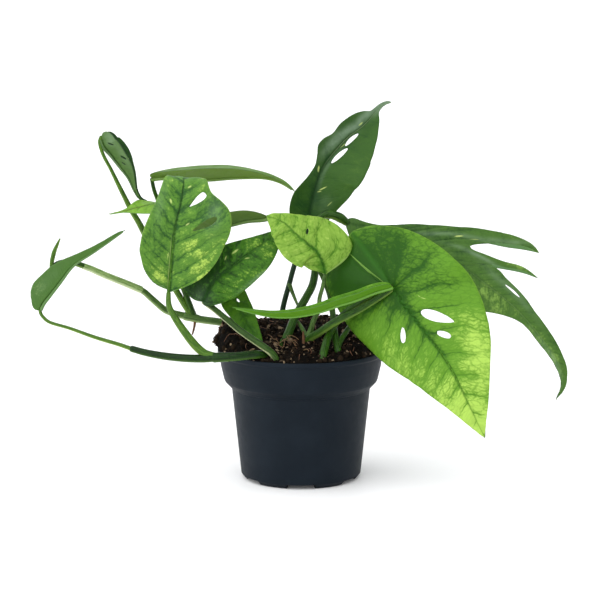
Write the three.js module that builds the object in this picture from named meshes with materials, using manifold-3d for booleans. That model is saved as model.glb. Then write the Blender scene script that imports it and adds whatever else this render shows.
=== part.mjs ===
// A potted cebu blue pothos: a round nursery pot, its soil, two trailing vines, the stalks that rise
// from the soil and thirteen thin blades, each with its own outline, slots, fold and bend.
//
// Millimetres, +Z up. The origin is the middle of the pot's underside, on its small central foot.
// +X is the plant's right and -Y its front.
import * as THREE from 'three';
import { mergeVertices } from 'three/addons/utils/BufferGeometryUtils.js';
import Module from 'manifold-3d';

const wasm = await Module();
wasm.setup();

// Driving dimensions
const GAP = 0.35; // clearance between a stem and the hole that it stands in
const BLADE = 0.8; // thickness of a blade
const CELL = 8; // distance between the points of a blade
const WAVE_SHIFT = 1.3; // how far the two margins' waves are out of step, in radians
const POT = {
  height: 94,
  rimRadius: 60,
  rimBand: 4, // height of the rim's thicker band
  rimFlare: 1.4, // how far the band stands out
  flareHeight: 82, // where the collar's wall turns steeper
  flareRadius: 57.6,
  collarRadius: 55.4,
  collarHeight: 72.5,
  lipRadius: 51,
  lipHeight: 66.8,
  neckRadius: 49.4,
  neckHeight: 62,
  bodyRadius: 43.3,
  footRadius: 40.4,
  footWidth: 3.5,
  footHeight: 2.2,
  chamfer: 3.4,
  wall: 1.7,
  floor: 2.2,
  bossRadius: 8,
  feet: 6,
  drainRadius: 4,
  drainCircle: 26,
};
const SOIL = {
  rimLevel: 96,
  edgeDrop: 1.5, // how far the soil falls towards the rim
  mound: 13,
  frontShare: 0.15,
  shoulder: 7,
  clearance: 0.3,
};
const SLOT_POINTS = 14;
const TUBE_SIDES = 8;
const TUBE_STEP = 8; // length of a stem between its rings
const TURNS = 48; // sides of the pot
const SOIL_TURNS = 36;

const v3 = (p) => new THREE.Vector3(...p);
const lerp = THREE.MathUtils.lerp;
const smooth = THREE.MathUtils.smoothstep;

function finish(colour, roughness) {
  return new THREE.MeshStandardMaterial({ color: colour, roughness, metalness: 0 });
}

// Solids: a closed geometry becomes a manifold, and a manifold becomes a geometry again.
function solid(geometry) {
  const bare = geometry.clone();
  for (const name of Object.keys(bare.attributes)) {
    if (name !== 'position') bare.deleteAttribute(name);
  }
  const merged = mergeVertices(bare, 1e-4);
  return new wasm.Manifold(
    new wasm.Mesh({
      numProp: 3,
      vertProperties: new Float32Array(merged.attributes.position.array),
      triVerts: new Uint32Array(merged.index.array),
    }),
  );
}

function shape(body) {
  const mesh = body.getMesh();
  const geometry = new THREE.BufferGeometry();
  geometry.setAttribute('position', new THREE.Float32BufferAttribute(mesh.vertProperties, 3));
  geometry.setIndex([...mesh.triVerts]);
  return geometry;
}

const joined = (geometries) => geometries.map(solid).reduce((whole, piece) => whole.add(piece));

// A round stem along a smooth curve, its radii spread evenly from one end to the other.
function stem(points, radii, grow = 0) {
  const path = new THREE.CatmullRomCurve3(points.map(v3), false, 'catmullrom', 0.5);
  const steps = Math.max(3, Math.round(path.getLength() / TUBE_STEP));
  const ring = [];
  for (let i = 0; i < TUBE_SIDES; i += 1) {
    const angle = (2 * Math.PI * i) / TUBE_SIDES;
    ring.push(new THREE.Vector2(Math.cos(angle), Math.sin(angle)));
  }
  const tube = new THREE.ExtrudeGeometry(new THREE.Shape(ring), {
    steps,
    extrudePath: path,
    bevelEnabled: false,
  });
  const middles = path.getSpacedPoints(steps);
  const place = tube.attributes.position;
  const vertex = new THREE.Vector3();
  for (let i = 0; i < place.count; i += 1) {
    vertex.fromBufferAttribute(place, i);
    let nearest = 0;
    middles.forEach((middle, k) => {
      if (middle.distanceToSquared(vertex) < middles[nearest].distanceToSquared(vertex)) nearest = k;
    });
    const radius = along(radii, nearest / steps) + grow;
    vertex.sub(middles[nearest]).setLength(radius).add(middles[nearest]);
    place.setXYZ(i, vertex.x, vertex.y, vertex.z);
  }
  return tube;
}

// The pot: one turned wall with a collar, a step and a chamfered foot ring, on six feet.
function pot() {
  const p = POT;
  const outside = [
    [0, 0],
    [p.bossRadius, 0],
    [p.bossRadius, p.footHeight],
    [p.footRadius - p.footWidth, p.footHeight],
    [p.footRadius - p.footWidth, 0],
    [p.footRadius, 0],
    [p.bodyRadius, p.chamfer],
    [p.neckRadius, p.neckHeight],
    [p.lipRadius, p.lipHeight],
    [p.collarRadius - 0.6, p.collarHeight - 1.5],
    [p.collarRadius, p.collarHeight],
    [p.flareRadius, p.flareHeight],
    [p.rimRadius - p.rimFlare, p.height - p.rimBand],
    [p.rimRadius, p.height - p.rimBand + p.rimFlare],
    [p.rimRadius, p.height],
  ];
  const inside = [
    [p.rimRadius - p.wall, p.height],
    [p.rimRadius - p.rimFlare - p.wall, p.height - p.rimBand],
    [p.collarRadius - p.wall, p.collarHeight],
    [p.neckRadius - p.wall, p.neckHeight],
    [p.bodyRadius - p.wall, p.footHeight + p.floor + 1],
    [p.bodyRadius - p.wall - 2, p.footHeight + p.floor],
    [0, p.footHeight + p.floor],
  ];
  const profile = [...outside, ...inside].map(([r, z]) => new THREE.Vector2(r, z));
  let body = solid(new THREE.LatheGeometry(profile, TURNS).rotateX(Math.PI / 2));
  for (let k = 0; k < p.feet; k += 1) {
    const turn = (2 * Math.PI * (k + 0.5)) / p.feet;
    const recess = new THREE.BoxGeometry(3 * p.footWidth, p.footRadius * 0.5, 2 * p.footHeight);
    recess.translate(p.footRadius, 0, 0).rotateZ(turn);
    const drain = new THREE.CylinderGeometry(p.drainRadius, p.drainRadius, 4 * p.floor, 12);
    drain.rotateX(Math.PI / 2).translate(p.drainCircle, 0, p.footHeight + p.floor / 2).rotateZ(turn);
    body = body.subtract(solid(recess)).subtract(solid(drain));
  }
  return body;
}

// Height of the soil's top: heaped at the middle and back, low at the front of the rim.
function soilHeight(x, y) {
  const edge = POT.rimRadius - POT.wall - SOIL.clearance;
  const shoulder = smooth(edge - Math.hypot(x, y), 0, SOIL.shoulder);
  const back = SOIL.frontShare + (1 - SOIL.frontShare) * smooth(y, -50, 5);
  const level = SOIL.rimLevel - SOIL.edgeDrop * (1 - shoulder);
  return level + SOIL.mound * shoulder * back;
}

// The soil: fills the pot's inside and heaps above the rim, with a plain hole for each stem.
function soil(stems) {
  const p = POT;
  const gap = p.wall + SOIL.clearance;
  const profile = [
    [0, p.footHeight + p.floor + SOIL.clearance],
    [p.bodyRadius - gap - 2, p.footHeight + p.floor + SOIL.clearance],
    [p.bodyRadius - gap, p.footHeight + p.floor + 1.3],
    [p.neckRadius - gap, p.neckHeight],
    [p.collarRadius - gap, p.collarHeight],
    [p.rimRadius - p.rimFlare - gap, p.height - p.rimBand],
    [p.rimRadius - gap, p.height],
  ];
  const wallPoints = profile.length;
  for (const share of [1, 0.96, 0.9, 0.76, 0.56, 0.32, 0]) {
    profile.push([share * (p.rimRadius - gap), SOIL.rimLevel]);
  }
  const turned = new THREE.LatheGeometry(profile.map(([r, z]) => new THREE.Vector2(r, z)), SOIL_TURNS);
  turned.rotateX(Math.PI / 2);
  const place = turned.attributes.position;
  for (let i = 0; i < place.count; i += 1) {
    if (i % profile.length >= wallPoints) {
      place.setZ(i, soilHeight(place.getX(i), place.getY(i)));
    }
  }
  return stems.reduce((whole, hole) => whole.subtract(hole), solid(turned));
}

// Blades. A blade is drawn flat, in millimetres: along its rib from its base, and across from it.
// Each half's outline runs from the base to the tip as [along, across].
function halfContour(points, length, cell) {
  const knots = [...points, [length, 0]].map(([s, t]) => new THREE.Vector3(s, t, 0));
  const curve = new THREE.CatmullRomCurve3(knots, false, 'centripetal');
  return curve.getSpacedPoints(Math.max(8, Math.round(curve.getLength() / cell)));
}

// A slot between two side veins: an oval from its first end to its second. Its half width swells
// to the given one, and each end's sharpness runs from 0.3, blunt, by 0.5, round, to 1, pointed.
const slotSwell = (share, sharp0, sharp1) => share ** sharp0 * (1 - share) ** sharp1;

function slotContour([along0, across0, along1, across1, half, sharp0, sharp1]) {
  const start = new THREE.Vector2(along0, across0);
  const reach = new THREE.Vector2(along1, across1).sub(start);
  const sideways = new THREE.Vector2(-reach.y, reach.x).normalize();
  const widest = slotSwell(sharp0 / (sharp0 + sharp1), sharp0, sharp1);
  const contour = [];
  for (let k = 0; k < SLOT_POINTS; k += 1) {
    const share = 0.5 - 0.5 * Math.cos((2 * Math.PI * k) / SLOT_POINTS);
    const side = k < SLOT_POINTS / 2 ? -1 : 1;
    const width = (side * half * slotSwell(share, sharp0, sharp1)) / widest;
    contour.push(start.clone().addScaledVector(reach, share).addScaledVector(sideways, width));
  }
  return contour;
}

const turnOf = (a, b, c) => (b.x - a.x) * (c.y - a.y) - (b.y - a.y) * (c.x - a.x);

function within(contour, point) {
  let inside = false;
  contour.forEach((a, i) => {
    const b = contour[(i + 1) % contour.length];
    const spans = a.y > point.y !== b.y > point.y;
    if (spans && point.x < a.x + ((b.x - a.x) * (point.y - a.y)) / (b.y - a.y)) inside = !inside;
  });
  return inside;
}

// The angle that triangle corners p and q span as seen from r.
function spanned(p, q, r) {
  const u = p.clone().sub(r);
  const v = q.clone().sub(r);
  return Math.atan2(Math.abs(u.cross(v)), u.dot(v));
}

// Turns the shared edge of two triangles wherever that makes them rounder.
function flipEdges(points, triangles) {
  for (let turned = true, pass = 0; turned && pass < 60; pass += 1) {
    turned = false;
    const owners = new Map();
    const moved = new Set();
    for (let index = 0; index < triangles.length; index += 1) {
      for (let k = 0; k < 3; k += 1) {
        const [p, q, r] = [0, 1, 2].map((n) => triangles[index][(k + n) % 3]);
        const other = owners.get(`${q} ${p}`);
        if (!other) {
          owners.set(`${p} ${q}`, [index, r]);
          continue;
        }
        const [mate, far] = other;
        if (moved.has(index) || moved.has(mate)) continue;
        const sum = spanned(points[p], points[q], points[r]) + spanned(points[p], points[q], points[far]);
        if (sum < Math.PI + 1e-6) continue;
        triangles[index] = [p, far, r];
        triangles[mate] = [far, q, r];
        moved.add(index).add(mate);
        turned = true;
      }
    }
  }
}

// Triangles over a contour with holes, with inner points on a lattice about one cell apart.
function fillContour(contour, holes, cell) {
  const points = [contour, ...holes].flat();
  const triangles = THREE.ShapeUtils.triangulateShape(contour, holes).map(([a, b, c]) =>
    turnOf(points[a], points[b], points[c]) > 0 ? [a, b, c] : [a, c, b],
  );
  flipEdges(points, triangles);
  const box = new THREE.Box2().setFromPoints(contour);
  const row = cell * 0.87;
  for (let y = box.min.y + row, shift = 0; y < box.max.y; y += row, shift = cell / 2 - shift) {
    for (let x = box.min.x + shift; x < box.max.x; x += cell) {
      const point = new THREE.Vector2(x, y);
      if (!within(contour, point) || holes.some((hole) => within(hole, point))) continue;
      if (points.some((other) => other.distanceTo(point) < cell * 0.65)) continue;
      const home = triangles.findIndex(([a, b, c]) =>
        [[a, b], [b, c], [c, a]].every(([p, q]) => turnOf(points[p], points[q], point) > 1e-3),
      );
      if (home < 0) continue;
      const [a, b, c] = triangles[home];
      const fresh = points.push(point) - 1;
      triangles[home] = [a, b, fresh];
      triangles.push([b, c, fresh], [c, a, fresh]);
      flipEdges(points, triangles);
    }
  }
  return { points, triangles };
}

// The flat sheet: both halves, filled from the rib to the margin, sharing the rib's points.
function flatSheet(spec, length) {
  const cell = spec.cell ?? CELL;
  const stops = Math.round(length / cell);
  const rib = [];
  for (let k = 0; k <= stops; k += 1) rib.push(new THREE.Vector2((length * k) / stops, 0));
  const points = rib.map((stop) => [stop.x, 0]);
  const triangles = [];
  for (const side of [-1, 1]) {
    const margin = halfContour(side < 0 ? spec.left : spec.right, length, cell);
    const back = margin.slice(1, -1).reverse().map((p) => new THREE.Vector2(p.x, side * p.y));
    const holes = (spec.slots ?? []).filter((slot) => slot[1] * side > 0).map(slotContour);
    const half = fillContour([...rib, ...back], holes, cell);
    const start = points.length - rib.length;
    half.points.slice(rib.length).forEach((p) => points.push([p.x, p.y]));
    const number = (i) => (i < rib.length ? i : i + start);
    triangles.push(...half.triangles.map((corners) => corners.map(number)));
  }
  return { points, triangles };
}

// A closed slab over a flat sheet. The place function gives a point's place above or below.
function slab({ points, triangles }, place) {
  const count = points.length;
  const position = [];
  for (const face of [1, -1]) {
    for (const [s, t] of points) position.push(...place(s, t, face));
  }
  const indices = [];
  const edges = new Map();
  for (const [a, b, c] of triangles) {
    indices.push(a, b, c, count + a, count + c, count + b);
    for (const [from, to] of [[a, b], [b, c], [c, a]]) {
      if (!edges.delete(`${to} ${from}`)) edges.set(`${from} ${to}`, [from, to]);
    }
  }
  for (const [from, to] of edges.values()) {
    indices.push(to, from, count + from, to, count + from, count + to);
  }
  const geometry = new THREE.BufferGeometry();
  geometry.setAttribute('position', new THREE.Float32BufferAttribute(position, 3));
  geometry.setIndex(indices);
  return geometry;
}

// A value that is a number, or a list of numbers spread evenly from the start to the tip.
function along(value, share) {
  if (!Array.isArray(value)) return value;
  const place = THREE.MathUtils.clamp(share, 0, 1) * (value.length - 1);
  const k = Math.min(Math.floor(place), value.length - 2);
  return lerp(value[k], value[k + 1], place - k);
}

// The bend of a blade: a flat point goes to the rib's point at its length, then out to its side
// along an arc that starts at the half's fold angle and turns by its curl within the blade's reach.
// A wave, as [height, count, start], ripples the margin.
function bend(spec) {
  const rib = new THREE.CatmullRomCurve3(spec.rib.map(v3), false, 'catmullrom', 0.5);
  const length = rib.getLength();
  const faces = spec.face.map(v3);
  const radians = THREE.MathUtils.degToRad;
  const place = (s, t) => {
    const held = THREE.MathUtils.clamp(s, 0, length);
    const share = held / length;
    const tangent = rib.getTangentAt(share);
    const middle = rib.getPointAt(share).addScaledVector(tangent, s - held);
    const slot = share * (faces.length - 1);
    const k = Math.min(Math.floor(slot), faces.length - 2);
    const normal = faces[k].clone().lerp(faces[k + 1], slot - k);
    normal.addScaledVector(tangent, -normal.dot(tangent)).normalize();
    const outward = tangent.clone().cross(normal);
    const side = t < 0 ? 0 : 1;
    const reach = Math.abs(t);
    const fold = radians(along(spec.fold[side], share));
    const curl = radians(along(spec.curl[side], share) || 0.01);
    const radius = spec.reach / curl;
    const wide = radius * (Math.sin(fold + reach / radius) - Math.sin(fold));
    const [height, waves, start] = spec.wave ?? [0, 1, 0];
    const phase = 2 * Math.PI * waves * (s / length) + start + WAVE_SHIFT * side;
    const ripple = height * (reach / spec.reach) ** 2 * Math.sin(phase);
    const rise = radius * (Math.cos(fold) - Math.cos(fold + reach / radius)) + ripple;
    return middle.addScaledVector(outward, t < 0 ? -wide : wide).addScaledVector(normal, rise);
  };
  return { length, place };
}

// A blade as a closed solid of even thickness, split alike on both faces.
function blade(spec) {
  const { length, place } = bend(spec);
  const step = 0.4;
  return slab(flatSheet(spec, length), (s, t, face) => {
    const tangent = place(s + step, t).sub(place(s - step, t));
    const across = place(s, t + step).sub(place(s, t - step));
    const normal = tangent.cross(across).normalize();
    const point = place(s, t).addScaledVector(normal, (face * BLADE) / 2);
    return [point.x, point.y, point.z];
  });
}

// The thirteen blades. The face is the way that the upper side looks, from base to tip.
const BLADES = {
  // Large heart-shaped blade at the front left, upright, its tip folded back over the top.
  leaf_heart: {
    cell: 6,
    colour: 0x5f9a3c,
    rib: [
      [-92, -46, 142], [-89, -50, 172], [-87, -51, 187], [-83, -50, 204], [-81, -46, 217],
      [-81, -40, 221.5], [-82, -32, 218],
    ],
    face: [[0.1, -1, 0.15], [0.1, -1, 0.15], [0.1, -1, 0.15], [0.1, -1, 0.2], [0.1, 0.2, 1]],
    fold: [[28, 28, 24, 8, 0], 6], curl: [-12, -12], reach: 35, wave: [1, 2.5, 2],
    left: [
      [0, 0], [4.9, 3.2], [6.1, 9.5], [10.7, 15.2], [18, 20.3], [25.9, 23.1], [30.5, 24.4],
      [37.7, 23.9], [44, 22.5], [51, 20.2], [60, 17.7], [68, 16], [75, 14.7], [81.7, 13.1], [90, 7],
    ],
    right: [
      [0, 0], [2.5, 5], [7.5, 15.7], [14.5, 24.2], [23, 30.3], [33, 34.4], [45, 37.5], [58, 37.5],
      [65, 34], [70, 27], [73.9, 20.2], [77.6, 17.7], [83, 15.3], [90, 9],
    ],
    slots: [[62.7, 6.5, 73, 16, 2.3, 1, 0.35], [46.6, 11.9, 60.1, 26.9, 2.4, 1, 0.6]],
  },
  // Narrow blade hanging from the highest stalk at the left, folded into a trough.
  leaf_high_left: {
    colour: 0x4d8047,
    rib: [
      [-142, 12, 243], [-140, 12, 238], [-135, 12, 232], [-129, 11, 224], [-123, 10, 216],
      [-119, 9, 207], [-116, 9, 202], [-113.5, 10, 200.2], [-110.3, 10.8, 199.6],
    ],
    face: [[0.5, 0, 0.86], [0.86, 0, 0.5], [0.9, 0, 0.3]],
    fold: [50, 40], curl: [0, 0], reach: 15,
    left: [
      [0, 0], [-3.5, 4.5], [-3, 9], [1.5, 12.8], [8, 14.7], [14.2, 14.7], [22.3, 12.7], [30, 8.8],
      [35.6, 5.6], [43, 3], [50, 1.8],
    ],
    right: [
      [0, 0], [-4, 3.5], [-4.8, 8], [-2.6, 13], [3, 16.6], [9, 17.4], [15, 16.4], [21.7, 15],
      [26.5, 13.4], [30.6, 10.6], [36.8, 5.7], [43.7, 2.6], [50, 1.5],
    ],
    slots: [
      [3, 5.5, 8.5, 10.6, 1, 0.6, 0.6], [17.5, 8, 22.8, 12.4, 1.2, 0.6, 0.6],
      [21.8, 5, 25.2, 6.9, 0.8, 0.6, 0.6],
    ],
  },
  // Long pointed blade at the far left, a trough that rises to the right.
  leaf_far_left: {
    colour: 0x5a8c46,
    rib: [
      [-181, -50, 131], [-179, -50, 135], [-175, -49, 140], [-167, -47, 150], [-158, -45, 161],
      [-144, -43, 170], [-135, -42, 176], [-122, -41, 185],
    ],
    face: [[-0.6, 0.3, 0.65], [-0.6, 0.3, 0.65]],
    fold: [60, 55], curl: [0, 0], reach: 15,
    left: [
      [0, 0], [-1.5, 2], [1, 7], [6, 11.5], [13, 13.5], [21, 13.5], [29, 12], [37, 9], [47, 6],
      [60, 4], [72, 2],
    ],
    right: [
      [0, 0], [-1.4, 0.9], [-1.7, 3.8], [0.6, 6.3], [3.2, 8.1], [5.8, 12], [11, 14.2], [21.9, 13.1],
      [28.1, 12], [32.7, 9.9], [41.2, 6], [53, 4.1], [64.9, 2.8], [77, 1.6],
    ],
  },
  // Long blade at the top, arching level to the right.
  leaf_arching: {
    colour: 0x59812f,
    rib: [
      [-106.5, 10, 215.8], [-97.4, 5, 217], [-81.2, -1, 216.2], [-64, -5, 216.6], [-51, -8, 217.8],
      [-38, -10, 218.4], [-25, -11, 218], [-14, -12, 214.8], [-4, -13, 208.5],
    ],
    face: [[0, 0, 1], [0, 0, 1]],
    fold: [23, 32], curl: [0, 0], reach: 15,
    left: [
      [0, 0], [-3, 4], [-3.5, 7.5], [1.1, 10.3], [9.5, 12], [16.2, 15.1], [27.9, 19.3], [40.6, 20.5],
      [49.3, 20.4], [60.4, 17.2], [72.6, 12.8], [81.7, 8.7], [90.8, 5.6], [102.6, 3],
    ],
    right: [
      [0, 0], [0.5, 4], [3, 5.8], [14.7, 9.4], [23.1, 12.9], [34.3, 15.6], [45.9, 16.8], [56.6, 15.5],
      [65.8, 13.5], [75.1, 10.1], [82.7, 5.8], [89.6, 3], [102.9, 0.8],
    ],
  },
  // Small olive blade behind the heart-shaped one, pointing left.
  leaf_olive: {
    colour: 0x50712e,
    rib: [
      [-24, -4, 189], [-29, -4, 188], [-38, -3, 187], [-49, -2, 184], [-63, -1, 180], [-75, 0, 177],
      [-86, 0.5, 174.6],
    ],
    face: [[0, 0.3, 1], [0, 0.3, 1]],
    fold: [25, 25], curl: [0, 0], reach: 15,
    left: [
      [0, 0], [0.5, 3], [2, 5], [5.5, 8.2], [10.5, 10.8], [16.5, 13], [22, 14.3], [30, 16.3], [40, 16],
      [49, 12], [57.5, 6],
    ],
    right: [[0, 0], [0.5, 3], [5, 6], [12, 7.5], [20, 8], [30, 8.5], [40, 8], [50, 6.5], [58, 4]],
  },
  // Mottled blade below the heart-shaped one, its lobes at the left and its tip behind the lime one.
  leaf_mottled: {
    colour: 0x447a2d,
    rib: [
      [-69, -30, 133], [-61, -31, 147], [-47, -31, 159], [-32, -29, 170], [-21, -27, 178],
      [-14, -25, 183],
    ],
    face: [[0.1, -1, 0.5], [0.2, -1, 0.5]],
    fold: [5, 5], curl: [-25, -15], reach: 22,
    left: [
      [0, 0], [-1.5, 3], [-2, 9], [1, 16.5], [8, 20], [18, 20.5], [29, 18.5], [40, 15], [50, 11],
      [60, 7], [69, 3.5],
    ],
    right: [
      [0, 0], [-2, 2], [-1, 5], [2, 9], [7, 14], [16.5, 18.3], [27.5, 19], [41, 18.3], [52, 16.5],
      [61, 13], [69, 7.5],
    ],
  },
  // Lime blade in the middle, with dark veins and one small hole.
  leaf_lime: {
    colour: 0x8ab447,
    rib: [
      [17, -28, 152], [15, -31, 160], [11, -34, 169], [4, -37, 175], [-5, -39, 183], [-12, -40, 190],
      [-24, -40, 195],
    ],
    face: [[0.1, -1, 0.35], [0.1, -1, 0.45]],
    fold: [3, 3], curl: [-20, -20], reach: 30,
    left: [
      [0, 0], [2.1, 2], [5.6, 6.5], [10, 10.9], [20.8, 15.5], [27.2, 17.2], [36, 17.7], [41.2, 16.3],
      [44.9, 14.8], [55.2, 12.4], [58.2, 8.1], [61.5, 4],
    ],
    right: [
      [0, 0], [2.6, 4.9], [5.1, 10.8], [6.2, 16.7], [7.3, 21.5], [9.5, 24.7], [13.8, 25.6], [18, 25],
      [22.8, 23.7], [31.8, 21.4], [37.6, 18], [45.8, 13], [49.4, 9], [54.7, 5.7], [60.9, 2.8],
    ],
    slots: [[32.6, 4.8, 34.8, 9, 1, 0.6, 0.6]],
  },
  // The largest blade, hanging at the front right, its basal lobes nearly touching along the sinus.
  leaf_broad: {
    colour: 0x57902f,
    rib: [[64, -38, 143], [73, -44, 131], [85, -51, 116], [98, -58, 100], [108, -64, 83], [127, -70, 44]],
    face: [[-0.5, -1, 0.3], [-0.2, -1, 0.35]],
    fold: [4, 2], curl: [-22, -25], reach: 45, wave: [1.2, 3, 0],
    left: [
      [0, 0], [-10, -4.8], [-22, -8], [-37, -10.6], [-46, -9.5], [-50.7, -1.1], [-49.5, 5],
      [-44.4, 15.7], [-37.2, 24.2], [-28.2, 32.5], [-18.1, 38.5], [-6.5, 43.4], [6.2, 47.3],
      [20.9, 49.2], [35, 47.8], [47, 45], [56.5, 40], [64, 35.5], [74, 28.6], [87, 21], [101, 13.2],
      [114.5, 4.8],
    ],
    right: [
      [0, 0], [-10, 6], [-22, 9], [-38, 11.7], [-44.5, 15.5], [-45, 24], [-41, 35], [-30, 41.6],
      [-19, 44], [-9, 44.8], [5, 44.5], [18, 42], [33, 38.6], [48, 33.6], [62, 29.2], [77.5, 23.2],
      [95.6, 13.7], [113.8, 4.7],
    ],
    slots: [
      [25.2, -6.8, 46, -20.7, 3.6, 0.5, 0.8], [43.2, -6.3, 52.5, -12.5, 2.1, 0.6, 0.5],
      [25.1, 9.9, 34.5, 17.1, 2, 0.8, 0.5],
    ],
  },
  // Young blade still folded to a strap, lying level across the front.
  leaf_strap: {
    colour: 0x86bd42,
    rib: [
      [63, -47, 146], [51, -48, 142.5], [39, -50, 138], [26, -51, 134], [16, -52, 130.5],
      [7, -52, 128], [-3, -52, 126.3], [-12, -52, 125.7], [-22, -51, 126.2], [-36, -50, 129],
      [-48, -48, 132],
    ],
    face: [[0, -0.2, 1], [0, -0.2, 1]],
    fold: [60, 60], curl: [0, 0], reach: 8,
    left: [[0, 0], [1, 3], [6, 5.2], [25, 6.2], [50, 6.2], [75, 5.2], [95, 3.2], [107, 1.6]],
    right: [[0, 0], [1, 3], [6, 5.2], [25, 6.2], [50, 6.2], [75, 5.2], [95, 3.2], [107, 1.6]],
  },
  // Tall blade at the back, its left half raised, with two slots beside the rib.
  leaf_tall: {
    colour: 0x3f7036,
    rib: [
      [6, 30, 182], [7, 30, 193], [11, 29, 209], [15, 29, 220], [22, 30, 230], [33, 32, 242],
      [45.5, 33, 251.7], [56.4, 35, 263.5], [60.7, 36, 266.6], [65.5, 37, 267.8],
    ],
    face: [[-0.2, -1, 0.35], [-0.3, -1, 0.3], [-0.2, -1, 0.2]],
    fold: [[15, 40, 55, 50, 30], 6], curl: [0, -8], reach: 30,
    left: [
      [0, 0], [-4, 6.4], [-1, 11.8], [5.3, 14.8], [13, 15.2], [19.4, 14.2], [27, 10.6], [34, 7.4],
      [40, 6.4], [46, 10], [51, 14.5], [56, 15], [63.6, 12], [72.3, 13.9], [83.4, 13], [90.6, 8.6],
      [95, 3.7], [98.5, 2.9], [102.7, 2.3], [108.8, 1.3],
    ],
    right: [
      [0, 0], [-2.8, 5.5], [-1.5, 11], [3.6, 15.8], [13.7, 20.6], [19.3, 23.4], [26, 26.8], [35, 29.6],
      [44.6, 31], [52, 30.8], [59, 29.1], [67, 26.8], [75.7, 23], [81.7, 16.9], [87.6, 11.1],
      [93.8, 6.1], [97.7, 2.3], [102, 1.1], [106.5, 0.7],
    ],
    slots: [[47, 3.7, 63.3, 6.1, 1.9, 0.6, 0.6], [63.2, 3.4, 77, 2.6, 1.6, 0.6, 0.6]],
  },
  // Long blade at the back right, cut on its upper side into two fingers and a trailing lobe.
  leaf_split: {
    colour: 0x4b733b,
    rib: [
      [32, 14, 184], [57, 14, 176], [86, 14, 166], [111, 13, 155], [134, 11, 138], [154, 9, 122],
      [172, 6, 102], [185, 3, 84], [189, 1, 68], [184, -1, 56],
    ],
    face: [[0, -1, 0.45], [0.2, -1, 0.4], [0.5, -1, 0.3]],
    fold: [-4, -4], curl: [-8, -8], reach: 40, wave: [0.7, 5, 1],
    left: [
      [0, 0], [3.1, 3.9], [15, 4.1], [27, 6.1], [45.1, 13.5], [62, 19.7], [78, 26.5], [94.5, 37.6],
      [106.2, 45.7], [116.5, 49.5], [124, 50.3], [129.6, 47.8], [122.9, 46], [113.3, 41], [99, 29.4],
      [87.9, 16.3], [89.8, 15.5], [100.2, 19], [114.4, 24.2], [126.7, 29.8], [137.9, 30.8],
      [130, 28.1], [117.1, 20.8], [106.3, 15.4], [108.4, 15.1], [115, 15.5], [121.4, 13.9],
      [131.8, 12.8], [141.7, 11.5], [150.1, 10], [161.6, 9.3], [175.2, 8], [186, 6.3], [195.5, 5.5],
      [202.4, 3.8], [209.4, 2.3],
    ],
    right: [
      [0, 0], [2, 4], [8, 12], [20, 20], [36, 27], [55, 32], [72, 34], [90, 32], [108, 26.3],
      [124, 16.2], [137, 9.7], [147.5, 5.2], [154, 3.8], [171, 4], [183, 3.7], [193, 3.1], [203, 1.8],
      [210, 1],
    ],
    slots: [[123.5, -9.3, 137.3, -8.9, 0.9, 0.6, 0.6]],
  },
  // Small dark blade hanging in front of the soil at the left, its tip just above it.
  leaf_low: {
    colour: 0x3f6e28,
    rib: [[-51, -8, 142], [-45, -13, 128], [-37, -20, 114], [-27, -27, 103.6]],
    face: [[0.3, -1, 0.3], [0.3, -1, 0.3]],
    fold: [0, 0], curl: [-10, -10], reach: 22,
    left: [[0, 0], [1, 4.5], [7.7, 9], [16, 9.4], [23.4, 9.2], [30, 8.1], [37.7, 5.8], [44, 3]],
    right: [[0, 0], [1, 5], [8, 10], [13.2, 11], [21, 9.4], [31.7, 6], [42, 3]],
    slots: [[11.8, -1.1, 15.2, -1.9, 0.7, 0.6, 0.6]],
  },
  // Young lime blade left of the heart-shaped one, with a drip tip.
  leaf_young: {
    colour: 0x86b244,
    rib: [
      [-88, -1, 202.5], [-97, -1, 199.5], [-106, -2, 198.4], [-118, -3, 195.4], [-126, -3, 193.4],
      [-137, -3, 191.4],
    ],
    face: [[0, -0.6, 1], [0, -0.6, 1]],
    fold: [5, [-45, -38, -15, 5, 5]], curl: [0, 0], reach: 15,
    left: [
      [0, 0], [1, 5], [6, 10], [14, 12.8], [21.5, 11.3], [28.3, 8], [33.4, 4.8], [38.3, 2.1],
      [43.4, 1],
    ],
    right: [
      [0, 0], [1, 4.5], [6, 8], [13, 9.2], [19, 10], [24, 11.3], [27.5, 11.5], [30.5, 8.9], [34.3, 5],
      [38, 2], [43.3, 0.8],
    ],
  },
};

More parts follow.
